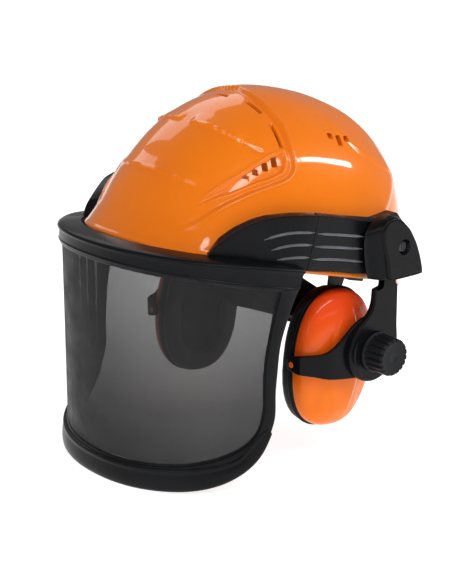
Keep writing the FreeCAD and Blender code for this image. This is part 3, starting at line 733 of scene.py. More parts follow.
def distance(points, route):
    """Distance of each point to a route and the share of the route where it is nearest."""
    tree = KDTree(len(route))
    for i, p in enumerate(route):
        tree.insert(p, i)
    tree.balance()
    found = [tree.find(p) for p in points]
    return np.array([f[2] for f in found]), np.array([f[1] for f in found]) / max(1, len(route) - 1)


def side_of(points, normals, route, share):
    """+1 on the left of a route seen from outside, -1 on its right."""
    index = np.clip((share * (len(route) - 1)).astype(int), 0, len(route) - 2)
    run = route[index + 1] - route[index]
    return np.sign(np.einsum("ij,ij->i", np.cross(run, points - route[index]), normals))


# Edge of the raised rear panel, from the brow up the left side to the crown.
SWEEP = [(30, -133, 12), (48, -122, 17), (61, -112, 22), (70, -97, 36), (80, -76, 53), (86, -54, 65)]
CORNER = [(88, -43, 71), (87.5, -38, 76), (85, -36, 84)]
RISE = [(81, -36.5, 91), (73, -37.5, 102), (59, -39, 114), (44, -41, 122), (25, -44, 129), (10, -47, 132)]
CROWN = [(0, -48, 133)]
VENT = [(60, -105, 39), (70, -75, 66), (77.5, -42, 91), (81, -41.5, 85), (86, -46, 76),
        (84, -58, 69), (74, -86, 53)]
TEAR = [(58, -71, 92.5), (64, -66, 90), (71, -59, 88)]
UPPER_CREASE = [(4, -92, 100), (22, -88, 100), (40, -81, 98), (52, -75, 95), (58, -71, 92.5)]
BROW_CREASE = [(-58, -101, 53), (-34, -112, 56.5), (0, -116, 58), (34, -112, 56.5), (58, -101, 53)]
REAR_TOP = [(0, 14, 139), (14, 18, 138), (28, 27, 134), (40, 40, 127), (49, 58, 117), (53, 75, 105)]
REAR_FOLD = [(46, 20, 126), (60, 22, 116), (70, 33, 107), (74, 46, 100), (72, 72, 92), (60, 98, 84)]
LOW_SWEEP = [(104, 40, 28), (104, 62, 44), (98, 84, 60), (84, 104, 76), (62, 118, 90)]
# Line, height, fall behind it, rise before it and bead along it.
CREASES = [
    (UPPER_CREASE, 1.7, 18.0, 1.6, 0.7), (BROW_CREASE, 1.5, 16.0, 1.6, 0.5),
    (REAR_TOP, -1.5, 15.0, 2.0, 0.5),
    (REAR_FOLD, 0.8, 22.0, 3.0, 0.0), (LOW_SWEEP, 1.2, 24.0, 3.0, 0.0),
]


def shell_relief(points, normals, flat):
    """How far the moulding stands out from, or is sunk into, the smooth dome."""
    y = points[:, 1]
    relief = np.zeros(len(points))
    half = SWEEP + CORNER + RISE
    ridge = half + CROWN + [(-a, b, c) for a, b, c in half[::-1]]
    route, ridge_flat = DOME.line(ridge, 0.8)
    gap, _ = distance(points, route)
    front = np.array([(-40, -260), (40, -260)])
    is_front = inside(flat, np.vstack([ridge_flat, front]))
    d = np.where(is_front, -gap, gap)
    blend = step(y, -126, -92)
    relief += PANEL_STEP * step(d, -0.8, 0.8) * blend
    relief += 1.2 * np.exp(-((d - 2.0) / 1.2) ** 2) * blend
    relief -= 0.6 * np.exp(-((d + 1.8) / 1.3) ** 2) * blend
    for line in both_ways(VENT):
        _, pocket = DOME.line(np.vstack([line, line[:1]]), smooth=False)
        ahead = np.roll(pocket, -1, axis=0)
        dense = np.vstack([np.linspace(a, b, 40, endpoint=False) for a, b in zip(pocket, ahead)])
        rim = DOME.at(np.hypot(*dense.T), np.arctan2(dense[:, 1], dense[:, 0]))
        gap, _ = distance(points, rim)
        within = inside(flat, pocket)
        d = np.where(within, gap, -gap)
        deep = step(y, -106, -74)
        relief -= (0.9 + 2.3 * deep) * step(d, -0.6, 1.6)
        relief += 1.0 * np.exp(-((d + 1.7) / 1.1) ** 2) * step(y, -110, -96)
    for line in both_ways(TEAR):
        route, _ = DOME.line(line, 0.8)
        gap, share = distance(points, route)
        wide = 1.4 + 1.2 * np.sin(np.pi * np.clip(share, 0, 1))
        relief -= 1.3 * np.exp(-(gap / wide) ** 2)
    for line, *form in CREASES:
        crosses_middle = line[0][0] < 0
        for route in [line] if crosses_middle else both_ways(line):
            relief += crease(points, normals, route, *form)
    return relief


def crease(points, normals, line, height, fall, rise, bead):
    """A shoulder along a line: a quick rise up to it and a slow fall behind it."""
    mirror = np.asarray(line, float)[-1][0] < 0
    route, _ = DOME.line(line, 0.8)
    gap, share = distance(points, route)
    side = side_of(points, normals, route, share)
    side = -side if mirror else side
    fade = step(np.minimum(share, 1 - share), 0.0, 0.14)
    near = np.where(side > 0, 1 - step(gap, -0.4 * fall, fall), 1 - step(gap, -rise, rise))
    top = 1 - step(0.0, -0.4 * fall, fall)
    near = np.where(side > 0, near / top, near / (1 - step(0.0, -rise, rise)))
    return (height * near + bead * np.exp(-(gap / 1.4) ** 2)) * fade


# Crown slots: half sizes, place on the left half, turn about z in degrees.
MIDDLE_SLOT = ((7.5, 1.7, 14), (0, -51.6, 134.0), 0)
SIDE_SLOTS = [((9.6, 1.9, 14), (35.0, -45.8, 126.0), 9), ((9.4, 1.6, 13), (64.5, -41.6, 107.0), 5)]
# Side openings: middle y and z, half height, half width; then the x range that is cut.
SIDE_VENTS = [(-48.5, 82.0, 4.2, 2.5), (-56.5, 77.0, 3.5, 2.5), (-64.5, 71.5, 2.6, 2.4),
              (-72.0, 66.5, 1.7, 2.2)]
SIDE_VENT_X = (70, 92)
REAR_VENTS = [(12.5, 110.0, 2.4, 2.9), (22.0, 107.6, 4.4, 3.0), (31.5, 110.0, 2.4, 2.9)]
REAR_VENT_X = (52, 84)


def crown_bar(size, place, turn, sign=1):
    """Bar that opens one crown slot."""
    x, y, z = size
    corners = [(-x, -y), (x, -y), (x, y), (-x, y)]
    skin = slab(even(rounded(corners, min(x, y) * 0.8), 0.7), z, -z, 0.01, 0.01, 1)
    swing = np.array(Matrix.Rotation(math.radians(sign * turn), 3, "Z"))
    return skin.moved(lambda p: p @ swing.T + np.array(place) * [sign, 1, 1])


def side_bar(y, z, height, width, span):
    """Bar that opens one side vent, over a range of x."""
    corners = [(y - width, z - height), (y + width, z - height * 0.9), (y + width, z + height),
               (y - width, z + height * 0.75)]
    return side_plate(slab(even(rounded(corners, 0.9), 0.7), span[1], span[0], 0.01, 0.01, 1))


def vent_cutters():
    """Every slot and vent opening as one skin, in helmet axes."""
    bars = crown_bar(*MIDDLE_SLOT)
    for sign in (1, -1):
        for slot in SIDE_SLOTS:
            bars.join(crown_bar(*slot, sign))
    for vents, span in ((SIDE_VENTS, SIDE_VENT_X), (REAR_VENTS, REAR_VENT_X)):
        for vent in vents:
            opening = side_bar(*vent, span)
            bars.join(opening)
            bars.join(opening.mirrored())
    return bars


SHELL_COLUMNS = 560
SHELL_ROWS = 128
INNER_DEEP = WALL - 0.3   # the inside face lies this far in from the smooth dome
RIM_BEAD = 1.1


def make_shell():
    """Shell with its relief, its rolled rim and its openings."""
    columns = SHELL_COLUMNS
    rows = SHELL_ROWS
    turn = 2 * math.pi * np.arange(columns) / columns
    low = DOME.at(np.full(columns, DOME.u[-1] - 12.0), turn)
    stop = rim_height(low[:, 1])
    order = DENSE[::-1]
    u_rim = np.interp(stop, order[:, 0], DOME.u[::-1])
    share = np.linspace(0, 1, rows + 1)[1:]
    u = share[:, None] * u_rim[None, :]
    grid_turn = np.broadcast_to(turn, u.shape)
    smooth = DOME.at(u, grid_turn)
    down = np.gradient(smooth, axis=0)
    across = np.roll(smooth, -1, axis=1) - np.roll(smooth, 1, axis=1)
    normal = np.cross(down, across)
    normal /= np.linalg.norm(normal, axis=2)[:, :, None] + 1e-9
    normal *= np.sign((normal * (smooth - [0, SHELL_MID, 30])).sum(axis=2))[:, :, None]
    flat = np.stack([u * np.cos(grid_turn), u * np.sin(grid_turn)], axis=-1)
    relief = shell_relief(smooth.reshape(-1, 3), normal.reshape(-1, 3), flat.reshape(-1, 2)).reshape(u.shape)
    from_rim = u_rim[None, :] - u
    relief += RIM_BEAD * (1 - step(from_rim, 1.5, 4.2))
    outer = smooth + normal * relief[:, :, None]
    picked = np.unique(np.concatenate([np.arange(0, rows - 4, 4), [rows - 1]]))
    inner = smooth[picked] - normal[picked] * INNER_DEEP
    lip = outer[-1] - normal[-1] * 1.6 + [0, 0, -0.9]
    rings = list(outer) + [outer[-1] - normal[-1] * 0.5 + [0, 0, -0.7], lip] + list(inner[::-1])
    skin = rows_skin(rings, ends=False)
    top = np.array([[0.0, SHELL_MID, DENSE[0][0]]])
    count = len(skin.points)
    skin.add(top, [])
    skin.faces += [[count, j, (j + 1) % columns] for j in range(columns)]
    skin.add(top - [0, 0, INNER_DEEP], [])
    last = (len(rings) - 1) * columns
    skin.faces += [[count + 1, last + (j + 1) % columns, last + j] for j in range(columns)]
    shell = make_object("helmet_shell", skin.moved(tilted), ORANGE, 70)
    shell.data = carve(shell, make_object("vent_cutter", vent_cutters().moved(tilted), ORANGE))
    shell.data.set_sharp_from_angle(angle=math.radians(60))
    return fit(shell, "helmet", "shell_orange", "shell")


# ------------------------------------------------------------------ visor
def bow_points(half_width, front, rear, power, count=241, legs=0.0):
    """Superellipse bow from the wearer's right, round the front, to the left."""
    t = np.linspace(-math.pi / 2, math.pi / 2, count)
    s = np.sin(t)
    c = np.clip(np.cos(t), 0, None)
    x = half_width * np.sign(s) * np.abs(s) ** (2 / power)
    y = rear + (front - rear) * c ** (2 / power)
    points = np.column_stack([x, y])
    if legs:
        run = np.arange(4.0, legs + 0.1, 4.0)
        before = np.column_stack([np.full(len(run), -half_width), rear + run[::-1]])
        after = np.column_stack([np.full(len(run), half_width), rear + run])
        points = np.vstack([before, points, after])
    keep = np.concatenate([[True], np.linalg.norm(np.diff(points, axis=0), axis=1) > 1e-6])
    return points[keep]


VISOR_RAIL = Rail(bow_points(VISOR_W, VISOR_FRONT, VISOR_REAR, VISOR_POWER))
MIDDLE = VISOR_RAIL.length / 2


# Edges of the visor as (y, z) on its left side.
BAND_TOP = [(-170, 36.5), (-124, 29.5), (-105, 27.2), (-82, 23.6), (-55, 18.6), (-33, 13.8)]
BAND_FOOT = [(-170, 23.0), (-124, 15.0), (-60, 2.6), (-41.5, -1.2)]
BAND_END = [(-41.5, -1.2), (-35.2, 14.3)]
# Section of the band as (offset, height): from its top edge, then from its foot.
BAND_LIP = [(-5.0, 0.5), (-1.2, -0.3), (0.2, -1.4), (0.7, -2.6), (0.5, -3.4), (-0.5, -4.0), (-0.8, -5.2)]
BAND_HEM = [(-0.5, 2.0), (0.1, 1.4), (0.2, 0.5), (-0.5, -0.2), (-3.5, 0.0)]
SHELF_HALF, SHELF_FRONT, SHELF_REAR, SHELF_POWER = 112.5, -142.0, -10.0, 2.1


def rail_y(s):
    return VISOR_RAIL.at(np.atleast_1d(s), np.zeros(np.size(s)))[:, 1]


def shelf_depth(s):
    """How far the band's top shelf reaches in from the visor's face."""
    depth = np.linspace(2.0, 40.0, 96)
    q = VISOR_RAIL.at(np.full(96, s), -depth)
    share = np.clip((SHELF_REAR - q[:, 1]) / (SHELF_REAR - SHELF_FRONT), 0.0, None)
    within = (np.abs(q[:, 0]) / SHELF_HALF) ** SHELF_POWER + share ** SHELF_POWER < 1.0
    return depth[np.argmax(within)] if within.any() else depth[-1]


def make_brow_band():
    """Brow bar: a shelf with a sloping lip over a tall face that ends in a thin flange."""
    rows = []
    for q in np.linspace(-1.0, 1.0, 180):
        s_mid = MIDDLE + q * (VISOR_RAIL.s_of_y(BAND_END[1][0]) - MIDDLE)
        y = rail_y(s_mid)[0]
        top = height_on(BAND_TOP, y)
        low = height_on(BAND_FOOT, y)
        shelf = shelf_depth(s_mid)
        section = [(-shelf, top + 0.7)] + [(d, top + z) for d, z in BAND_LIP]
        section += [(d, low + z) for d, z in BAND_HEM]
        section += [(-3.5, top - 2.6), (-shelf, top - 1.8)]
        loop = rounded(section, 0.9, 3)
        share = np.clip((loop[:, 1] - low) / (top - low), 0.0, 1.0)
        end = VISOR_RAIL.s_of_y(BAND_END[0][0] + share * (BAND_END[1][0] - BAND_END[0][0]))
        rows.append(VISOR_RAIL.place(MIDDLE + q * (end - MIDDLE), loop[:, 1], loop[:, 0]))
    band = make_object("visor_brow_band", rows_skin(rows), VISOR, 34)
    return fit(band, "visor", "visor_black", "visor_band")


FRAME_REAR = [(-41.5, -2), (-44.7, -8), (-52.4, -26.5), (-58, -44), (-60.7, -66), (-62.4, -88),
              (-62.8, -106),
              (-67, -120), (-75, -136), (-90, -150), (-112, -160), (-140, -165)]
WINDOW_REAR = [(-59.5, 0), (-62.2, -9.4), (-65, -20.3), (-68.4, -38), (-71.3, -54), (-72.7, -77),
               (-73.3, -100),
               (-78.2, -116), (-89, -127), (-101, -133), (-117, -138.5), (-137, -142.5)]
FRAME_FOOT = -167.0
WINDOW_FOOT = -145.5
# Sections of the frame and the guard: share from one edge to the other, and outward offset.
FRAME_SECTION = [(0.0, -3.4), (0.0, -1.6), (0.02, -0.9), (0.10, -0.55), (0.45, -0.3), (0.80, -0.5),
                 (0.90, -0.9),
                 (0.925, -1.9), (0.98, -2.1), (1.0, -2.4), (1.0, -3.4)]


def strip_edges(rear, front_z, count):
    """One edge of the frame as (s, z), from the left top round to the right top."""
    left = np.array([(VISOR_RAIL.s_of_y(y), z) for y, z in rear])
    middle = np.array([(MIDDLE, front_z)])
    right = np.column_stack([2 * MIDDLE - left[::-1, 0], left[::-1, 1]])
    return spline(np.vstack([left, middle, right]), count)


def strip_row(a, b, share, offset):
    """Section of a strip between two of its edge points."""
    at = a + (b - a) * share[:, None]
    return VISOR_RAIL.place(at[:, 0], at[:, 1], offset)


def make_visor_frame():
    """Bow round the window, and the strip that closes it behind the brow band."""
    outer = strip_edges(FRAME_REAR, FRAME_FOOT, 260)
    inner = strip_edges(WINDOW_REAR, WINDOW_FOOT, 260)
    share, offset = np.array(FRAME_SECTION).T
    skin = rows_skin([strip_row(a, b, share, offset) for a, b in zip(outer, inner)])
    start = VISOR_RAIL.s_of_y(-44.0)
    bar_offset, bar_z = np.array([(-3.4, 4), (-1.0, 4), (-1.0, -2.4), (-1.5, -3.2), (-3.4, -3.2)]).T
    bar = []
    for s in np.linspace(2 * MIDDLE - start, start, 120):
        low = height_on(BAND_FOOT, rail_y(s)[0])
        bar.append(VISOR_RAIL.place(np.full(5, s), low + bar_z, bar_offset))
    skin.join(rows_skin(bar))
    visor_frame = make_object("visor_bow_frame", skin, VISOR, 40)
    return fit(visor_frame, "visor", "visor_black", "visor_frame")


CHIN_LOW = [(-66, -119), (-75, -136), (-90, -150), (-112, -160.5), (-138, -165.5)]
CHIN_TOP = [(-69, -114), (-80, -122), (-91, -134.5), (-110, -142), (-136, -146)]
CHIN_SECTION = [(1.0, -2.6), (1.0, 0.5), (0.97, 1.1), (0.90, 1.4), (0.83, 1.2), (0.79, 0.9), (0.72, 1.1),
                (0.5, 2.2), (0.25, 2.5), (0.08, 2.0), (0.0, 0.9), (-0.03, -0.8), (0.02, -2.6)]
CHIN_FADE = 0.10          # share of its length over which the guard sinks into the bow


def make_chin_guard():
    """Wide chin bumper with a bead along its upper edge."""
    low = strip_edges(CHIN_LOW, FRAME_FOOT, 220)
    top = strip_edges(CHIN_TOP, -148.0, 220)
    share, depth = np.array(CHIN_SECTION).T
    rows = []
    for k, (a, b) in enumerate(zip(low, top)):
        from_tip = min(k, len(low) - 1 - k) / len(low)
        swell = 0.2 + 0.8 * min(1.0, from_tip / CHIN_FADE)
        rows.append(strip_row(a, b, share, np.where(depth > 0, depth * swell, depth)))
    guard = make_object("chin_bumper", rows_skin(rows), VISOR, 50)
    return fit(guard, "visor", "visor_black", "chin_guard")


MESH_PITCH = 0.70
THREAD_DEEP = 0.10        # the threads are rolled flat
MESH_OFFSET = -3.0
# Width of a thread as a share of the pitch, by height; the threads widen towards the foot so that the net
# darkens downwards, a painted shade.
MESH_COVER = [(-143, 0.79), (-90, 0.69), (-30, 0.59), (20, 0.55)]
MESH_LOW = -144.0
MESH_TUCK = 4.0           # how far the net reaches in behind the band and the frame


def make_mesh():
    """Net: upright threads, and inside them cross threads that bend with the bow."""
    edge = strip_edges(WINDOW_REAR, WINDOW_FOOT, 600)
    edge = edge[edge[:, 0] > MIDDLE]
    edge = edge[np.argsort(edge[:, 0])]
    rise = edge[np.argsort(edge[:, 1])]
    widest = edge[-1, 0]
    skin = Skin()
    for k in range(int((widest - MIDDLE) / MESH_PITCH) + 1):
        reach = k * MESH_PITCH
        bottom = np.interp(MIDDLE + reach, edge[:, 0], edge[:, 1]) - 2.0
        top = height_on(BAND_FOOT, rail_y(MIDDLE + reach)[0]) + MESH_TUCK
        z = np.linspace(bottom, top, 3)
        for sign in ((1, -1) if k else (1,)):
            skin.join(thread(np.full(3, MIDDLE + sign * reach), z, True))
    foot = np.array(BAND_FOOT)
    for z in np.arange(MESH_LOW, foot[0, 1] - 1.0, MESH_PITCH):
        reach = np.interp(z, rise[:, 1], rise[:, 0])
        if z > foot[-2, 1]:
            hidden = np.interp(z - MESH_TUCK, foot[::-1, 1], foot[::-1, 0])
            reach = min(reach, VISOR_RAIL.s_of_y(max(hidden, VISOR_FRONT + 1.0)))
        reach += 1.0 - MIDDLE
        count = max(4, int(reach / 1.5))
        s = MIDDLE + np.linspace(-reach, reach, count)
        skin.join(thread(s, np.full(count, z), False))
    net = make_object("visor_net", skin, THREAD, 80)
    return fit(net, "visor", "mesh_grey", "visor_mesh")


def thread(s, z, upright):
    """Flat thread of the net; the cross threads lie inside the upright ones."""
    half = MESH_PITCH * height_on(MESH_COVER, z) / 2
    layer = MESH_OFFSET + (THREAD_DEEP / 2 if upright else -THREAD_DEEP / 2)
    corners = []
    for across, out in ((1, 1), (-1, 1), (-1, -1), (1, -1)):
        side = half * across
        offset = np.full(len(s), layer + out * THREAD_DEEP / 2)
        place = (s + side, z, offset) if upright else (s, z + side, offset)
        corners.append(VISOR_RAIL.place(*place))
    return rows_skin(np.stack(corners, axis=1))


# ------------------------------------------------------------------ visor arms
ARM_SEAM_X = 117.5
ARM_STRAIGHT = -20.0      # the arm runs straight back from this station
ARM_DRAW, ARM_RUN = 2.5, 65.0       # it closes in this much over this length
PETAL_DRAW = 16.0         # how far the petal curves in over the brow


def arm_face(y):
    """Outside face of the visor arm at a station along y."""
    v = np.clip((VISOR_REAR - y) / (VISOR_REAR - VISOR_FRONT), 0.0, 1.0)
    bow = VISOR_W * (1.0 - v ** VISOR_POWER) ** (1.0 / VISOR_POWER) - 3.0
    front = np.minimum(bow, ARM_SEAM_X) - PETAL_DRAW * step(-y, 22.0, 88.0)
    return np.where(y > ARM_STRAIGHT, ARM_SEAM_X - (y - ARM_STRAIGHT) * ARM_DRAW / ARM_RUN, front)


ARM_Y = np.linspace(-125.0, 75.0, 141)
ARM_RAIL = Rail(np.column_stack([arm_face(np.minimum(ARM_Y, 45.0)), ARM_Y]))


def arm_place(y, z, d):
    """Place on the arm's outside face by its (y, z), with an outward offset."""
    s = np.interp(y, ARM_RAIL.p[:, 1], ARM_RAIL.s)
    return ARM_RAIL.place(s, z, d)


def arm_rib(points, radius=1.15):
    """Raised rib on the arm's outside face."""
    path = spline(points, 30)
    centre = arm_place(path[:, 0], path[:, 1], np.full(30, 0.15))
    return tube(centre, taper(30, radius), 8)


def arm_loft(top, foot, crest, shelf, wall, count, edge=1.1):
    """Arm skin from its foot line up to its top line, where it turns in over the shell."""
    rows = []
    for (y_top, z_top), (y_foot, z_foot) in zip(spline(top, count), spline(foot, count)):
        tall = max(z_top - z_foot, 0.3)
        ease = min(edge, tall / 3)
        thick = min(1.8, tall / 3)
        depth = min(shelf, wall + 0.5 + tall * 0.8)
        lift = height_on(crest, y_top) - z_top
        # share of the height, added height, outward offset
        section = [(0, 0, -wall), (0, 0, -0.6), (0.01, 0.2, 0), (0.35, 0, 0), (0.7, 0, 0), (1, -ease, 0),
                   (1, -ease * 0.3, -ease * 0.3), (1, 0, -ease), (1, lift * 0.6, -depth * 0.55),
                   (1, lift, -depth), (1, lift - thick, -depth), (1, -thick * 1.3, -wall - 0.3),
                   (1, -thick * 1.8, -wall)]
        share, extra, d = (np.array([q[k] for q in section], float) for k in range(3))
        rows.append(arm_place(y_foot + (y_top - y_foot) * share, z_foot + tall * share + extra, d))
    return rows_skin(rows)


PETAL_TOP = [(-104.3, 28.9), (-102.9, 32.0), (-94.5, 40.0), (-83.0, 47.6), (-71.5, 53.1), (-59.0, 55.9),
             (-46.5, 56.6), (-33.0, 55.8), (-15.7, 53.6)]
PETAL_FOOT = [(-104.4, 28.0), (-95, 26.0), (-82.0, 23.0), (-55.0, 16.0), (-36.0, 11.4), (-27.9, 9.6)]
PETAL_CREST = [(-103, 30.8), (-95, 41.0), (-83.2, 49.1), (-71.9, 54.6), (-59.5, 56.9),
               (-40.4, 57.2), (-26, 55.9),
               (-12, 53.6)]
LINK_TOP = [(-14.9, 53.4), (-2, 50.2), (19.3, 45.2), (45.8, 38.4), (62.0, 36.0)]
LINK_FOOT = [(-27.2, 9.3), (-12, 6.2), (2.2, 3.3), (40.0, -6.2), (62.0, -9.0)]
LINK_CREST = [(-15, 54.9), (16.7, 47.4), (58.5, 38.4), (62, 37.6)]
PETAL_RIBS = [
    [(-63.4, 39.1), (-52.7, 41.7), (-39.8, 42.6), (-19.9, 40.1)],
    [(-57.6, 30.1), (-46.2, 32.2), (-32.7, 32.0), (-22.6, 30.4)],
    [(-53.1, 21.8), (-43.5, 22.1), (-35.4, 21.9), (-25.6, 20.6)],
]
LINK_RIBS = [
    [(-16.8, 38.7), (10.5, 32.9), (36.5, 27.0)], [(-19.3, 28.5), (10.8, 22.3), (35.0, 16.9)],
    [(-21.9, 18.4), (11.2, 12.0), (36.0, 5.5)],
]


def make_ribs(name, lines):
    """Ribs of one arm, as a piece of their own, in a lighter grey that is a painted highlight along their
    crests.
    """
    ribs = Skin()
    for line in lines:
        ribs.join(arm_rib(line))
    both_sides(name, ribs, RIB, "visor", "arm_black")


def make_front_arm():
    """Petal that covers the corner of the visor, with three ribs."""
    skin = arm_loft(PETAL_TOP, PETAL_FOOT, PETAL_CREST, 9.0, 2.8, 90)
    make_ribs("visor_petal_ribs_{}", PETAL_RIBS)
    return both_sides("visor_petal_{}", skin, ARM, "visor", "arm_black", ("visor_arm_front_{}",))


def make_rear_arm():
    """Ribbed arm between the pivot and the petal."""
    skin = arm_loft(LINK_TOP, LINK_FOOT, LINK_CREST, 6.0, 4.0, 60, 1.0)
    make_ribs("visor_link_ribs_{}", LINK_RIBS)
    tongue_z = np.array([22.0, 42.0, 42.0, 22.0])
    tongue_offset = np.array([-4.4, -4.4, -5.6, -5.6])
    stations = np.linspace(-36.0, -12.0, 9)
    skin.join(rows_skin([arm_place(np.full(4, y), tongue_z, tongue_offset) for y in stations]))
    return both_sides("visor_link_{}", skin, ARM, "visor", "arm_black", ("visor_arm_rear_{}",))


# ------------------------------------------------------------------ carrier cap, muff arm, knob, yoke
# Outline of the cap at its base, at mid depth and on its outside face; the front wall flares at the base.
CAP_BASE = [(38.8, -10), (35.4, 6.6), (33.8, 23.2), (35.6, 32.4), (43.5, 40.0), (54.0, 44.5),
            (65.5, 41.5),
            (76.0, 32.0), (84.0, 18.5), (89.5, 5.0), (93.0, -10)]
CAP_WAIST = [(43.0, -10), (42.2, 6.6), (39.6, 23.2), (38.9, 34.0), (45.0, 41.6), (54.5, 45.0),
             (65.5, 41.7),
             (76.2, 32.0), (84.2, 18.5), (89.6, 5.0), (93.0, -10)]
CAP_FACE = [(50.3, -10), (47.2, 8.5), (42.4, 23.8), (42.0, 35.5), (47.2, 42.2), (55.0, 43.8),
            (64.0, 40.4),
            (74.6, 31.0), (82.8, 17.9), (88.1, 4.5), (91.8, -10)]
CAP_X0, CAP_WAIST_X, CAP_X1 = 118.6, 126.0, 133.0
CAP_ROUND = 3.0
CAP_CAVITY = [(50.5, -14), (49.5, 4), (55, 4), (81, 4), (86.5, -14)]
CAP_DIMPLE = [(127.6, 0.01), (127.8, 3.8), (129.4, 5.0), (131.4, 5.8), (133.3, 7.0), (136.0, 8.6),
              (136.2, 0.01)]
CAP_LIP = [(51.6, -9.2), (62, -9.4), (76, -9.4), (90.6, -9.2)]
PIVOT_LINE = np.array([0, PIVOT[1], PIVOT[2]])


def cap_rings():
    """Outlines of the cap from its base out to its rounded face."""
    base, waist, face = (rounded(ring, 5.0, 6) for ring in (CAP_BASE, CAP_WAIST, CAP_FACE))
    rings = [(CAP_X0, base), (CAP_X0 + 3.0, base + (waist - base) * 0.35), (CAP_WAIST_X, waist),
             (CAP_WAIST_X + 0.8, waist + (face - waist) * 0.12)]
    area = np.sum(face[:, 0] * np.roll(face[:, 1], -1) - np.roll(face[:, 0], -1) * face[:, 1])
    turn = 1.0 if area > 0 else -1.0
    for k in range(6):
        a = math.pi / 2 * k / 5
        ring = inset(face, turn * CAP_ROUND * (1 - math.cos(a)))
        rings.append((CAP_X1 - CAP_ROUND * (1 - math.sin(a)), ring))
    return [np.column_stack([np.full(len(ring), x), ring]) for x, ring in rings]


def make_carrier():
    """D-shaped cap over the pivot, open below, with the screw in a dimple."""
    shell = make_object("carrier_blank", rows_skin(cap_rings()), ARM)
    hollow = side_plate(slab(even(rounded(CAP_CAVITY, 1.5), 1.5), 130.2, 117.5, 1.5, 0.2, 4))
    hollow.join(turned(CAP_DIMPLE, 40, PIVOT_LINE))
    mesh = carve(shell, make_object("carrier_cutter", hollow, ARM))
    bpy.data.objects.remove(shell)
    points = np.array([v.co for v in mesh.vertices]) / MM
    skin = Skin().add(points, [list(p.vertices) for p in mesh.polygons])
    path = np.column_stack([np.full(30, 132.0), spline(CAP_LIP, 30)])
    path[0, 0] = path[-1, 0] = 130.8
    skin.join(tube(path, taper(30, 1.0, 0.6), 8, up=(0, 0, 1)))
    return both_sides("muff_cap_{}", skin, ARM, "carrier_{}", "arm_black", ("muff_carrier_{}",), 40)


def make_pivot_screws():
    """Slotted screw head at the bottom of the dimple."""
    profile = [(126.0, 0.01), (126.0, 4.9), (129.6, 4.9), (130.4, 4.6), (130.8, 3.9), (130.8, 0.01)]
    head = turned(profile, 32, PIVOT_LINE)
    for offset in (-1.25, 1.25):
        bar = spline([(PIVOT[1] + offset, PIVOT[2] - 3.6), (PIVOT[1] + offset, PIVOT[2] + 3.6)], 6)
        head.join(tube(np.column_stack([np.full(6, 130.8), bar]), 0.45, 8))
    return both_sides("pivot_screw_head_{}", head, DARK_STEEL, "helmet", "steel", ("pivot_screw_{}",))


ARM_NECK = [(49.5, -3.0), (48.5, -15.5), (41.0, -17.0), (40.2, -27)]
ARM_CURVE = [(40.2, -27), (37.8, -34), (32, -40.5), (24, -47), (17.5, -55), (13.8, -64)]
MUFF_ARM_X = (121.0, 127.0)
ARM_BACK = [(68.6, -62), (67.6, -52), (67.2, -16.5), (65.5, -15.5), (64.5, -3.0)]


def arc(y, z, radius, start, stop, count):
    """Arc as (y, z), between two angles in degrees."""
    turn = np.radians(np.linspace(start, stop, count))
    return np.column_stack([y + radius * np.cos(turn), z + radius * np.sin(turn)])


def make_muff_arm():
    """Side arm from its hinge knuckle down to the disc that holds the clamp."""
    disc = arc(41.0, -69.0, 28.0, 168, 352, 28)
    outline = even(np.vstack([ARM_NECK, spline(ARM_CURVE, 16)[1:], disc, ARM_BACK]), 1.3)
    skin = side_plate(slab(outline, MUFF_ARM_X[1], MUFF_ARM_X[0], 1.7, 0.8, 5))
    ring = np.column_stack([np.full(30, MUFF_ARM_X[1]), arc(43.0, -71.0, 24.2, 150, 262, 30)])
    skin.join(tube(ring, taper(30, 0.9, 0.2), 8))
    knuckle = [(48.3, 0.01), (48.3, 3.4), (48.9, 4.0), (65.1, 4.0), (65.7, 3.4), (65.7, 0.01)]
    skin.join(turned(knuckle, 24, np.array([SWING[0], 0, SWING[2]]), "y"))
    return both_sides("muff_side_arm_{}", skin, ARM, "arm_{}", "arm_black", ("muff_arm_{}",))


KNOB_R = (KNOB_HIGH[1] - KNOB_LOW[1]) / 2 - 1.0
KNOB_RIBS = 18


def make_knob():
    """Ribbed clamp knob with a flange at its foot and a dished face."""
    x0, x1 = KNOB_LOW[0], KNOB_HIGH[0]
    profile = [(x0, 3.3), (x0, KNOB_R + 0.5), (x0 + 0.5, KNOB_R + 1.0), (x0 + 1.8, KNOB_R + 1.0),
               (x0 + 2.4, KNOB_R + 0.3)]
    profile += [(x, KNOB_R + 0.1 - 0.03 * (x - x0)) for x in np.linspace(x0 + 3, x1 - 2.2, 9)]
    profile += [(x1 - 1.3, KNOB_R - 0.9), (x1 - 0.5, KNOB_R - 1.5), (x1, KNOB_R - 2.4), (x1, KNOB_R - 3.4)]
    profile += [(x1 - 0.45, KNOB_R - 4.0), (x1 - 0.45, 5.0), (x1 - 0.6, 4.6), (x1 - 0.6, 0.01)]
    wave = scallops(KNOB_RIBS, 1.5, (129.6, 131.6), (148.2, 149.2), 0.4, 0.8 * KNOB_R)
    skin = turned(profile, KNOB_RIBS * 12, np.array([0, STUD[1], STUD[2]]), wave=wave)
    return both_sides("clamp_handwheel_{}", skin, KNOB, "knob_{}", "knob_black", ("clamp_knob_{}",), 40)


YOKE_PLAN = [(90.0, -25.0), (102.0, -25.0), (106.2, -23.4), (109.0, -20.5), (114.5, -10), (119.0, -1.5),
             (120.3, 4.0), (120.3, 48.0), (118.8, 53.5), (112.0, 64.0), (108.0, 68.0),
             (103.0, 69.2), (90.0, 69.2)]

YOKE_TOP = [(-18, -66.9), (-6, -66.0), (3, -61.5), (12, -54.5), (22, -46.0), (34, -41.0),
            (46, -42.0), (60, -52.0)]
YOKE_LOW = [(58, -90.0), (42, -93.2), (27, -92.4), (9, -90.2), (-8, -87.2), (-18, -84.4)]


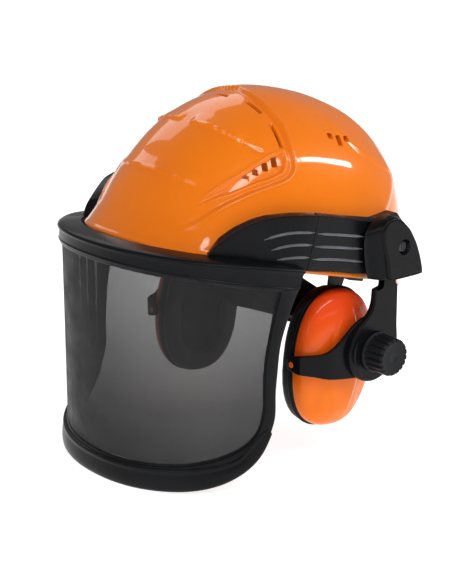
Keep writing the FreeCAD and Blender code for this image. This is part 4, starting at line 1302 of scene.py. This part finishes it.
def make_yoke():
    """Bent strap from the clamp to the two cup trunnions."""
    plan = spline(YOKE_PLAN, 140)
    rail = Rail(plan)
    front_end = 1.5
    rear_end = rail.length - 1.5

    def s(y):
        return np.interp(y, plan[20:120, 1], rail.s[20:120])

    top = [(front_end, -71.5), (10.0, -68.2)] + [(s(y), z) for y, z in YOKE_TOP]
    top += [(rear_end - 12, -66), (rear_end, -71.5)]
    low = [(rear_end, -80.5), (rear_end - 12, -85.5)] + [(s(y), z) for y, z in YOKE_LOW]
    low += [(10.0, -82.6), (front_end, -80.5)]
    outline = even(rounded(np.vstack([spline(top, 60), spline(low, 60)]), 4.0, 3), 1.3)
    skin = on_rail(slab(outline, 0.0, -3.6, 1.0, 0.5), rail, 2.0)
    return both_sides("cup_yoke_{}", skin, ARM, "yoke_{}", "arm_black", ("yoke_{}",), 40)


# ------------------------------------------------------------------ ear muff
OVAL_COUNT = 112


def oval(half_width, half_height, count=OVAL_COUNT):
    """Superellipse ring of the ear cup as (y, z) about its middle."""
    t = 2 * math.pi * np.arange(count) / count
    c = np.cos(t)
    s = np.sin(t)
    r = (np.abs(c) ** CUP_POWER + np.abs(s) ** CUP_POWER) ** (-1 / CUP_POWER)
    return np.column_stack([half_width * r * c, half_height * r * s])


def oval_row(x, half_width, half_height, count=OVAL_COUNT):
    """The ring at a station x, in the row frame's axes but not yet leaned."""
    ring = oval(half_width, half_height, count)
    return np.column_stack([np.full(count, x), ring[:, 0] + CUP_Y, ring[:, 1] + CUP_Z])


CUP_EDGE_X = 93.4         # where the orange shell meets the black plate
# Stations of the orange shell and of the black plate: x, half width, half height.
CUP_STATIONS = [(93.4, 41.3, 59.3), (96.0, 41.3, 59.3), (98.8, 40.8, 58.8), (103.8, 37.5, 55.5),
                (107.6, 31.5, 49.0), (110.4, 22.0, 38.0), (111.4, 12.0, 24.0), (111.7, 0.4, 0.8)]
PLATE_STATIONS = [(88.2, 30.0, 47.0), (88.2, 41.2, 59.2), (88.5, 42.6, 60.6), (89.1, 43.0, 61.0),
                  (90.6, 43.0, 61.0),
                  (91.1, 42.6, 60.6), (91.4, 42.0, 60.0), (93.0, 42.0, 60.0), (93.4, 41.4, 59.4),
                  (93.4, 30.0, 47.0)]


CUP_HALF_Y, CUP_HALF_Z = 41.5, 59.5
PANEL_RISE = 1.5
FLANK_DEEP = 1.9
BROW_DEEP = 0.9
STUD_DISH = 2.4
STUD_DISH_WIDE = 14.0
TRUNNION_LINE = np.array([97.0, 0.0, -76.0])
TRUNNION_R = 3.0
TRUNNIONS = [(-25.6, -12.0), (55.0, 69.8)]      # range of y of each pin


def make_cup():
    """Cup shell with a raised middle panel and drawn-in flanks."""
    stations = spline(CUP_STATIONS, 46)
    grid = np.array([oval_row(*station) for station in stations])
    y = (grid[:, :, 1] - CUP_Y) / CUP_HALF_Y
    z = (grid[:, :, 2] - CUP_Z) / CUP_HALF_Z
    outside = step(grid[:, :, 0], 96.0, 104.0)
    spine = 0.12 + 0.30 * (1 - np.abs(z)) * (z > 0) + 0.36 * (1 - np.abs(z)) * (z <= 0)
    panel = 1 - step(np.abs(y + 0.06 * z), spine - 0.05, spine + 0.05)
    fade = step(0.88 - np.abs(z), 0.0, 0.2)
    grid[:, :, 0] += PANEL_RISE * panel * fade * outside
    flank = np.exp(-((np.abs(y) - 0.62) / 0.16) ** 2) * np.exp(-((z + 0.55) / 0.22) ** 2)
    grid[:, :, 0] -= FLANK_DEEP * flank * outside
    brow = np.exp(-((z - 0.72 + 0.25 * y * y) / 0.05) ** 2)
    grid[:, :, 0] -= BROW_DEEP * brow * outside
    # room for the clamp stud's head when the cup tilts
    reach = np.hypot(grid[:, :, 1] - STUD[1], grid[:, :, 2] - STUD[2])
    grid[:, :, 0] -= STUD_DISH * np.exp(-(reach / STUD_DISH_WIDE) ** 2) * outside
    inner = [oval_row(x - 2.2, w - 2.2, h - 2.2) for x, w, h in stations[::-3]]
    inner.append(oval_row(CUP_EDGE_X, 39.2, 57.2))
    skin = rows_skin(list(grid[::-1]) + inner[::-1]).moved(leaned)
    for low, high in TRUNNIONS:
        pin = [(low, 0.01), (low, TRUNNION_R - 0.5), (low + 0.5, TRUNNION_R), (high - 0.5, TRUNNION_R),
               (high, TRUNNION_R - 0.5), (high, 0.01)]
        skin.join(turned(pin, 28, TRUNNION_LINE, "y"))
    return both_sides("cup_outer_{}", skin, CUP_ORANGE, "cup_{}", "cup_orange", ("cup_shell_{}",), 45, False)


def make_back_plate():
    """Black carrier plate between cup and cushion, with a stepped edge."""
    skin = rows_skin([oval_row(*station) for station in PLATE_STATIONS], ring=True)
    return both_sides("cup_rim_plate_{}", skin.moved(leaned), HARNESS, "cup_{}", "plate_black",
                      ("cup_back_plate_{}",), 40)


# ------------------------------------------------------------------ soft goods
SOFT = []
SOFT_FRAMES = 20


def soften(obj, hold, pressure, most):
    """Queues a piece for the inflation run; hold gives each point's grip, and most caps its move in mm."""
    SOFT.append((obj, hold, pressure, most))


def run_softening():
    """Inflates every queued piece at once, caps how far it moved and keeps the result."""
    if not SOFT:
        return
    scene = bpy.context.scene
    for obj, hold, pressure, _ in SOFT:
        group = obj.vertex_groups.new(name="held")
        for index, weight in enumerate(hold):
            if weight > 0.02:
                group.add([index], float(weight), "REPLACE")
        cloth = obj.modifiers.new("cloth", "CLOTH")
        cloth.settings.use_pressure = True
        cloth.settings.uniform_pressure_force = pressure
        cloth.settings.effector_weights.gravity = 0.0
        cloth.settings.vertex_group_mass = "held"
        cloth.settings.tension_stiffness = 25
        cloth.settings.compression_stiffness = 25
        cloth.settings.bending_stiffness = 2.0
        cloth.settings.quality = 6
        cloth.point_cache.frame_start = 1
        cloth.point_cache.frame_end = SOFT_FRAMES + 4
        cloth.collision_settings.use_collision = False
    for number in range(1, SOFT_FRAMES + 1):
        scene.frame_set(number)
    graph = bpy.context.evaluated_depsgraph_get()
    for obj, _, _, most in SOFT:
        blown = np.array([v.co for v in obj.evaluated_get(graph).data.vertices])
        rest = np.array([v.co for v in obj.data.vertices])
        move = blown - rest
        size = np.linalg.norm(move, axis=1)[:, None] + 1e-12
        move *= np.minimum(1.0, most * MM / size)
        obj.modifiers.clear()
        obj.vertex_groups.clear()
        obj.data.vertices.foreach_set("co", (rest + move).astype(np.float32).ravel())
        obj.data.update()
    scene.frame_set(1)


CUSHION_X = 83.0          # middle of the cushion's depth
CUSHION_HALF = 4.55
CUSHION_INNER = (25.6, 42.6)
CUSHION_WIDE = (16.4, 17.4)


def make_cushions():
    """Ring cushion: rounded section, held at the plate and swollen by its foam."""
    section = []
    for k in range(22):
        a = 2 * math.pi * k / 22
        section.append((bulge(math.cos(a), 0.62), bulge(math.sin(a), 0.62)))
    rows = []
    for across, out in section:
        share = 0.5 + 0.5 * out
        half_width, half_height = (low + share * wide for low, wide in zip(CUSHION_INNER, CUSHION_WIDE))
        rows.append(oval_row(CUSHION_X + CUSHION_HALF * across, half_width, half_height, 96))
    skin = rows_skin(rows, ring=True).moved(leaned)
    made = both_sides("ear_cushion_soft_{}", skin, VINYL, "cup_{}", "cushion_black", ("ear_cushion_{}",), 80,
                      False)
    for obj in made:
        depth = np.abs(points_of(obj)[:, 0])
        soften(obj, step(depth, 85.0, 87.0), 5.0, 1.6)
    return made


def finish_cushions(cushions):
    """Gathers and a welded seam round the outer edge."""
    for obj in cushions:
        co = points_of(obj)
        y = co[:, 1] - CUP_Y
        z = co[:, 2] - CUP_Z
        angle = np.arctan2(z, y)
        reach = np.hypot(y / 42.0, z / 60.0)
        rim = step(reach, 0.93, 1.0) * step(86.8 - np.abs(co[:, 0]), 0.0, 1.5)
        pleat = 0.22 * np.sin(46 * angle) * rim
        seam = 0.5 * np.exp(-((np.abs(co[:, 0]) - 85.6) / 0.7) ** 2) * step(reach, 0.85, 1.0)
        outwards = np.column_stack([np.zeros(len(co)), np.cos(angle), np.sin(angle)])
        reshape(obj, co + (pleat - seam)[:, None] * outwards)


def pad_along(rail, s0, s1, low, high, inner, outer, count, square=0.55):
    """Padded strip along a rail, in (s, z, d); low and high give its edges at each s."""
    rows = []
    for s in np.linspace(s0, s1, count):
        ease = min(1.0, math.sqrt(max(0.0, min(s - s0, s1 - s)) / 6.0) + 0.12)
        z_mid = (low(s) + high(s)) / 2
        z_half = (high(s) - low(s)) / 2 * (0.6 + 0.4 * ease)
        d_mid = (inner + outer) / 2
        d_half = (outer - inner) / 2 * ease
        a = 2 * math.pi * np.arange(20) / 20
        up = bulge(np.cos(a), square)
        out = bulge(np.sin(a), square)
        rows.append(rail.place(np.full(20, s), z_mid + z_half * up, d_mid + d_half * out))
    return rows_skin(rows)


# Plan of each pad on its band: half width, front or rear, where its sides end, power.
SWEAT_PLAN = (BAND_W - 1.8, -106.2, -25.0, 2.2)
NAPE_PLAN = (BAND_W - 4.1, -102.2, -22.0, 2.2)


def make_pads():
    """Sweatband and nape pad, each a stuffed strip on its band."""
    rail = Rail(bow_points(*SWEAT_PLAN, 161))
    mid = rail.length / 2

    def low(s):
        return np.interp(rail.at(np.array([s]), np.zeros(1))[0, 1], [-120, -45], [-21.4, -19.6])

    def high(s):
        return np.interp(rail.at(np.array([s]), np.zeros(1))[0, 1], [-120, -45], [5.4, 3.6])

    reach = rail.s_of_y(-46.5) - mid
    skin = pad_along(rail, mid - reach, mid + reach, low, high, -3.6, -0.4, 90)
    sweat = make_object("brow_sweat_pad", skin.moved(tilted), PAD, 80)
    fit(sweat, "helmet", "pad_fabric", "sweatband")
    rail_rear = Rail(bow_points(*NAPE_PLAN, 161) * [-1, -1])
    mid = rail_rear.length / 2
    skin = pad_along(rail_rear, mid - 62, mid + 62, lambda s: -65.0, lambda s: -46.6, -4.6, -0.4, 60)
    nape = make_object("nape_soft_pad", skin.moved(tilted), PAD, 80)
    fit(nape, "nape", "pad_fabric", "nape_pad")
    for obj in (sweat, nape):
        soften(obj, np.zeros(len(obj.data.vertices)), 3.0, 1.2)
    return [sweat, nape]


LONG_MID = 5.0
LONG_REACH = 125.0
LONG_HIGH = 100.0


def make_crown_pad():
    """Quilted pad under the long strap, following its arch."""
    rows = []
    for y in np.linspace(-25.0, 35.0, 44):
        edge = min(1.0, math.sqrt(max(0.0, min(y + 25.0, 35.0 - y)) / 5.0) + 0.15)
        t = (y - LONG_MID) / LONG_REACH
        top = LONG_HIGH * math.sqrt(1 - t * t) - 0.8
        a = 2 * math.pi * np.arange(28) / 28
        x = 27.0 * bulge(np.cos(a), 0.45) * (0.75 + 0.25 * edge)
        z = top - 2.6 + 2.3 * bulge(np.sin(a), 0.6) * edge
        rows.append(np.column_stack([x, np.full(28, y), z]))
    skin = rows_skin(rows).moved(tilted)
    pad = make_object("crown_soft_pad", skin, PAD, 80)
    fit(pad, "helmet", "pad_fabric", "crown_pad")
    soften(pad, np.zeros(len(pad.data.vertices)), 3.0, 1.0)
    return pad


def quilt(obj, spacing, depth, axis):
    """Sewn channels across a pad, a spacing apart along one axis."""
    co = points_of(obj)
    normals = np.array([v.normal for v in obj.data.vertices])
    line = np.abs(((co[:, axis] / spacing) % 1.0) - 0.5) * spacing
    reshape(obj, co - normals * (depth * np.exp(-(line / 1.6) ** 2))[:, None])


FOAM_STATIONS = [(94.4, 30.0, 46.0), (94.3, 33.0, 50.0), (95.0, 33.8, 50.8), (97.5, 33.9, 50.9),
                 (99.6, 33.4, 50.4),
                 (99.9, 31.0, 48.0)]


def make_liners():
    """Foam insert in the cup, with a dished face."""
    rows = [oval_row(*station, 64) for station in FOAM_STATIONS]
    fills = []
    for k in range(1, 7):
        share = 1 - k / 6.5
        x = 94.4 + 0.9 * math.sin(math.pi * share)
        fills.append(oval_row(x, 30 * share + 0.2, 46 * share + 0.3, 64))
    back = []
    for k in range(1, 5):
        share = 1 - k / 4.4
        back.append(oval_row(99.9, 31 * share + 0.2, 48 * share + 0.3, 64))
    skin = rows_skin(fills[::-1] + rows + back).moved(leaned)
    made = both_sides("cup_foam_{}", skin, FOAM, "cup_{}", "liner_foam", ("cup_liner_{}",), 80, False)
    return made


STRAP_ACROSS = (-1.0, -0.93, -0.6, 0.0, 0.6, 0.93, 1.0)
STITCH_ROWS = (12, 15, 64, 67)


def strap_skin(arch, outwards, side, half_width, thick):
    """Webbing strip over an arch; its selvedges are thicker than its middle."""
    rows = []
    for centre, out in zip(arch, outwards):
        row = []
        for face, places in ((1, STRAP_ACROSS), (-1, STRAP_ACROSS[::-1])):
            for u in places:
                swell = 0.5 if abs(u) > 0.9 else 0.42
                row.append(centre + side * half_width * u + out * thick * swell * face)
        rows.append(row)
    return rows_skin(rows)


def make_strap(name, node, run, middle, reach, high, gap):
    """Crown strap arched along axis run at a gap over its ellipse, stitched at both ends."""
    t = np.radians(np.linspace(4.5, 175.5, 80))
    c, s = np.cos(t), np.sin(t)
    arch = np.tile(middle, (80, 1))
    arch[:, run] -= (reach + gap) * c
    arch[:, 2] = (high + gap) * s
    out = np.zeros((80, 3))
    out[:, run] = -high * c
    out[:, 2] = reach * s
    out /= np.linalg.norm(out, axis=1)[:, None]
    side = np.eye(3)[1 - run]
    skin = strap_skin(arch, out, side, 10.0, 1.2)
    for row in STITCH_ROWS:
        skin.join(stitches(arch[row] + out[row] * 0.62, side, 8.2, out[row]))
    strap = make_object(name, skin.moved(tilted), WEBBING, 60)
    fit(strap, "helmet", "webbing", node)


def make_straps():
    make_strap("crown_web_long", "crown_strap_long", 1, (0.0, LONG_MID, 0.0), LONG_REACH, LONG_HIGH, 0.6)
    make_strap("crown_web_cross", "crown_strap_cross", 0, (0.0, CROSS_Y, 0.0), 97.6, 99.4, 0.0)


def stitches(centre, side, half, out):
    """A row of thread dashes across a strap."""
    skin = Skin()
    for k in range(7):
        middle = centre + side * half * (k - 3) / 3.4
        path = np.array([middle - side * 0.9, middle, middle + side * 0.9])
        skin.join(tube(path, [0.12, 0.22, 0.12], 6, up=tuple(out)))
    return skin


# ------------------------------------------------------------------ nape ratchet
RATCHET_CENTRE = np.array([0.0, 120.0, -56.0])
RATCHET_RIBS = 20


def make_ratchet_knob():
    """Scalloped adjuster with a raised rim and a dished face."""
    wave = scallops(RATCHET_RIBS, 1.1, (-3.0, -1.4), (6.4, 7.6), 0.5, 14.0)
    profile = [(-3.6, 4.2), (-3.6, 16.6), (-3.1, 17.0), (-2.0, 17.0)]
    profile += [(x, 17.0) for x in np.linspace(-1.0, 5.6, 6)]
    profile += [(6.6, 16.4), (7.4, 15.6), (8.0, 14.6), (8.0, 12.8)]
    profile += [(7.4, 12.2), (7.4, 6.0), (8.0, 5.4), (8.0, 0.01)]
    skin = turned(profile, RATCHET_RIBS * 10, RATCHET_CENTRE, "y", wave).moved(tilted)
    knob = make_object("ratchet_handwheel", skin, KNOB, 40)
    return fit(weighted(knob), "nape_knob", "ratchet_black", "ratchet_knob")


# ------------------------------------------------------------------ CAD pieces that stay
def dress(node, material, bevel):
    """A CAD node keeps its shape, with a material and eased edges."""
    obj = frame["nodes"][node]
    obj.data.materials.clear()
    obj.data.materials.append(material)
    weld = obj.modifiers.new("weld", "WELD")
    weld.merge_threshold = 0.01 * MM
    ease = obj.modifiers.new("ease", "BEVEL")
    ease.width = bevel * MM
    ease.segments = 2
    ease.limit_method = "ANGLE"
    ease.angle_limit = math.radians(40)
    ease.harden_normals = False
    return obj


# Node, material, slot, bevel in mm; {} becomes each side in turn.
DRESS = [
    ("headband", HARNESS, "harness_black", 0.35), ("nape_strap", HARNESS, "harness_black", 0.35),
    ("strap_anchor_front", HARNESS, "harness_black", 0.35),
    ("strap_anchor_rear", HARNESS, "harness_black", 0.35), ("strap_anchor_{}", HARNESS, "harness_black", 0.35),
    ("band_hanger_front", GREY, "harness_grey", 0.4), ("band_hanger_{}", GREY, "harness_grey", 0.4),
    ("ratchet_housing", HARNESS, "ratchet_black", 0.8),
    ("side_bracket_{}", ARM, "arm_black", 0.6), ("friction_washer_{}", STEEL, "steel", 0.1),
    ("swing_pin_{}", STEEL, "steel", 0.2), ("clamp_stud_{}", STEEL, "steel", 0.2),
    ("bracket_screws", STEEL, "steel", 0.3),
]


def dress_cad():
    """Materials of the CAD pieces that the scene keeps as they are."""
    for node, material, slot, bevel in DRESS:
        for name in sorted({node.format(side) for side in ("left", "right")}):
            dress(name, material, bevel)


# ------------------------------------------------------------------ stage, light and camera
def area_light(name, place, run, size, power, aim=(0.0, 0.0, 0.02)):
    """Soft box at a place, facing the aim; run is the direction of its long side."""
    data = bpy.data.lights.new(name, "AREA")
    data.shape = "RECTANGLE"
    data.size, data.size_y = size
    data.energy = power
    light = bpy.data.objects.new(name, data)
    light.location = place
    light.rotation_mode = "QUATERNION"
    back = (Vector(place) - Vector(aim)).normalized()
    side = Vector(run)
    side = (side - back * side.dot(back)).normalized()
    light.rotation_quaternion = Matrix((side, back.cross(side), back)).transposed().to_quaternion()
    bpy.context.scene.collection.objects.link(light)


def around(azimuth, elevation, reach):
    """Place at a compass angle from +X towards +Y and an elevation, in degrees and metres."""
    a = math.radians(azimuth)
    e = math.radians(elevation)
    return reach * math.cos(e) * math.cos(a), reach * math.cos(e) * math.sin(a), reach * math.sin(e)


FLOOR_REACH = 30.0        # metres
FLOOR_GLOW = 0.76
WORLD_GLOW = 0.28
LIGHT_REACH = 2.0
# Name, azimuth and elevation, direction of the long side, size, watts.
LIGHTS = [
    ("over_side", (-8, 50), (0, 1, 0), (1.9, 0.20), 16.5),
    ("side_strip", (58, 31), (-0.51, 0.67, -0.51), (0.95, 0.11), 10),
    ("front_fill", (-75, 25), (1, 0, 0), (1.4, 0.9), 7),
    ("back_rim", (165, 40), (1, 1, 0), (1.4, 0.8), 6),
]
CAMERA_PLACE = (0.9674, -0.7990, 0.3427)
CAMERA_VIEW = (-0.7432, 0.6018, -0.2924)
CAMERA_LENS = 92.16


def make_stage():
    """Pale floor just under the helmet, an even world and four soft boxes."""
    floor_z = CAD_BOX[0].z - 0.0005
    mesh = bpy.data.meshes.new("floor")
    corners = [(FLOOR_REACH * x, FLOOR_REACH * y, floor_z) for x, y in ((-1, -1), (1, -1), (1, 1),
               (-1, 1))]
    mesh.from_pydata(corners, [], [(0, 1, 2, 3)])
    paint = Paint("floor_pale", (0.86, 0.86, 0.86), 0.8, specular=0.1)
    paint.colour(paint.mixed(paint.noise(2.0), (0.85, 0.85, 0.85), (0.87, 0.87, 0.87)))
    paint.shader.inputs["Emission Color"].default_value = (1.0, 1.0, 1.0, 1)
    paint.shader.inputs["Emission Strength"].default_value = FLOOR_GLOW
    mesh.materials.append(paint.material)
    floor = bpy.data.objects.new("floor", mesh)
    bpy.context.scene.collection.objects.link(floor)
    world = bpy.data.worlds.new("studio")
    world.use_nodes = True
    background = world.node_tree.nodes["Background"]
    background.inputs["Color"].default_value = (1.0, 1.0, 1.0, 1)
    background.inputs["Strength"].default_value = WORLD_GLOW
    bpy.context.scene.world = world
    for name, direction, run, size, power in LIGHTS:
        area_light(name, around(*direction, LIGHT_REACH), run, size, power)


def make_camera():
    """Eye level a little above the visor, from the front left."""
    data = bpy.data.cameras.new("camera")
    data.sensor_width = 36.0
    data.lens = CAMERA_LENS
    data.clip_end = 100.0
    camera = bpy.data.objects.new("camera", data)
    camera.location = CAMERA_PLACE
    camera.rotation_mode = "QUATERNION"
    camera.rotation_quaternion = Vector(CAMERA_VIEW).to_track_quat("-Z", "Y")
    bpy.context.scene.collection.objects.link(camera)
    bpy.context.scene.camera = camera


def build():
    make_shell()
    make_brow_band()
    make_visor_frame()
    make_chin_guard()
    make_mesh()
    make_front_arm()
    make_rear_arm()
    make_carrier()
    make_pivot_screws()
    make_muff_arm()
    make_knob()
    make_yoke()
    make_cup()
    make_back_plate()
    make_liners()
    make_straps()
    make_ratchet_knob()
    cushions = make_cushions()
    pads = make_pads()
    crown = make_crown_pad()
    run_softening()
    finish_cushions(cushions)
    for pad in pads:
        quilt(pad, 14.0, 0.7, 0)
    quilt(crown, 13.0, 0.8, 0)
    dress_cad()
    make_stage()
    make_camera()
    scene = bpy.context.scene
    scene.view_settings.view_transform = "Standard"
    scene.view_settings.look = "None"


build()
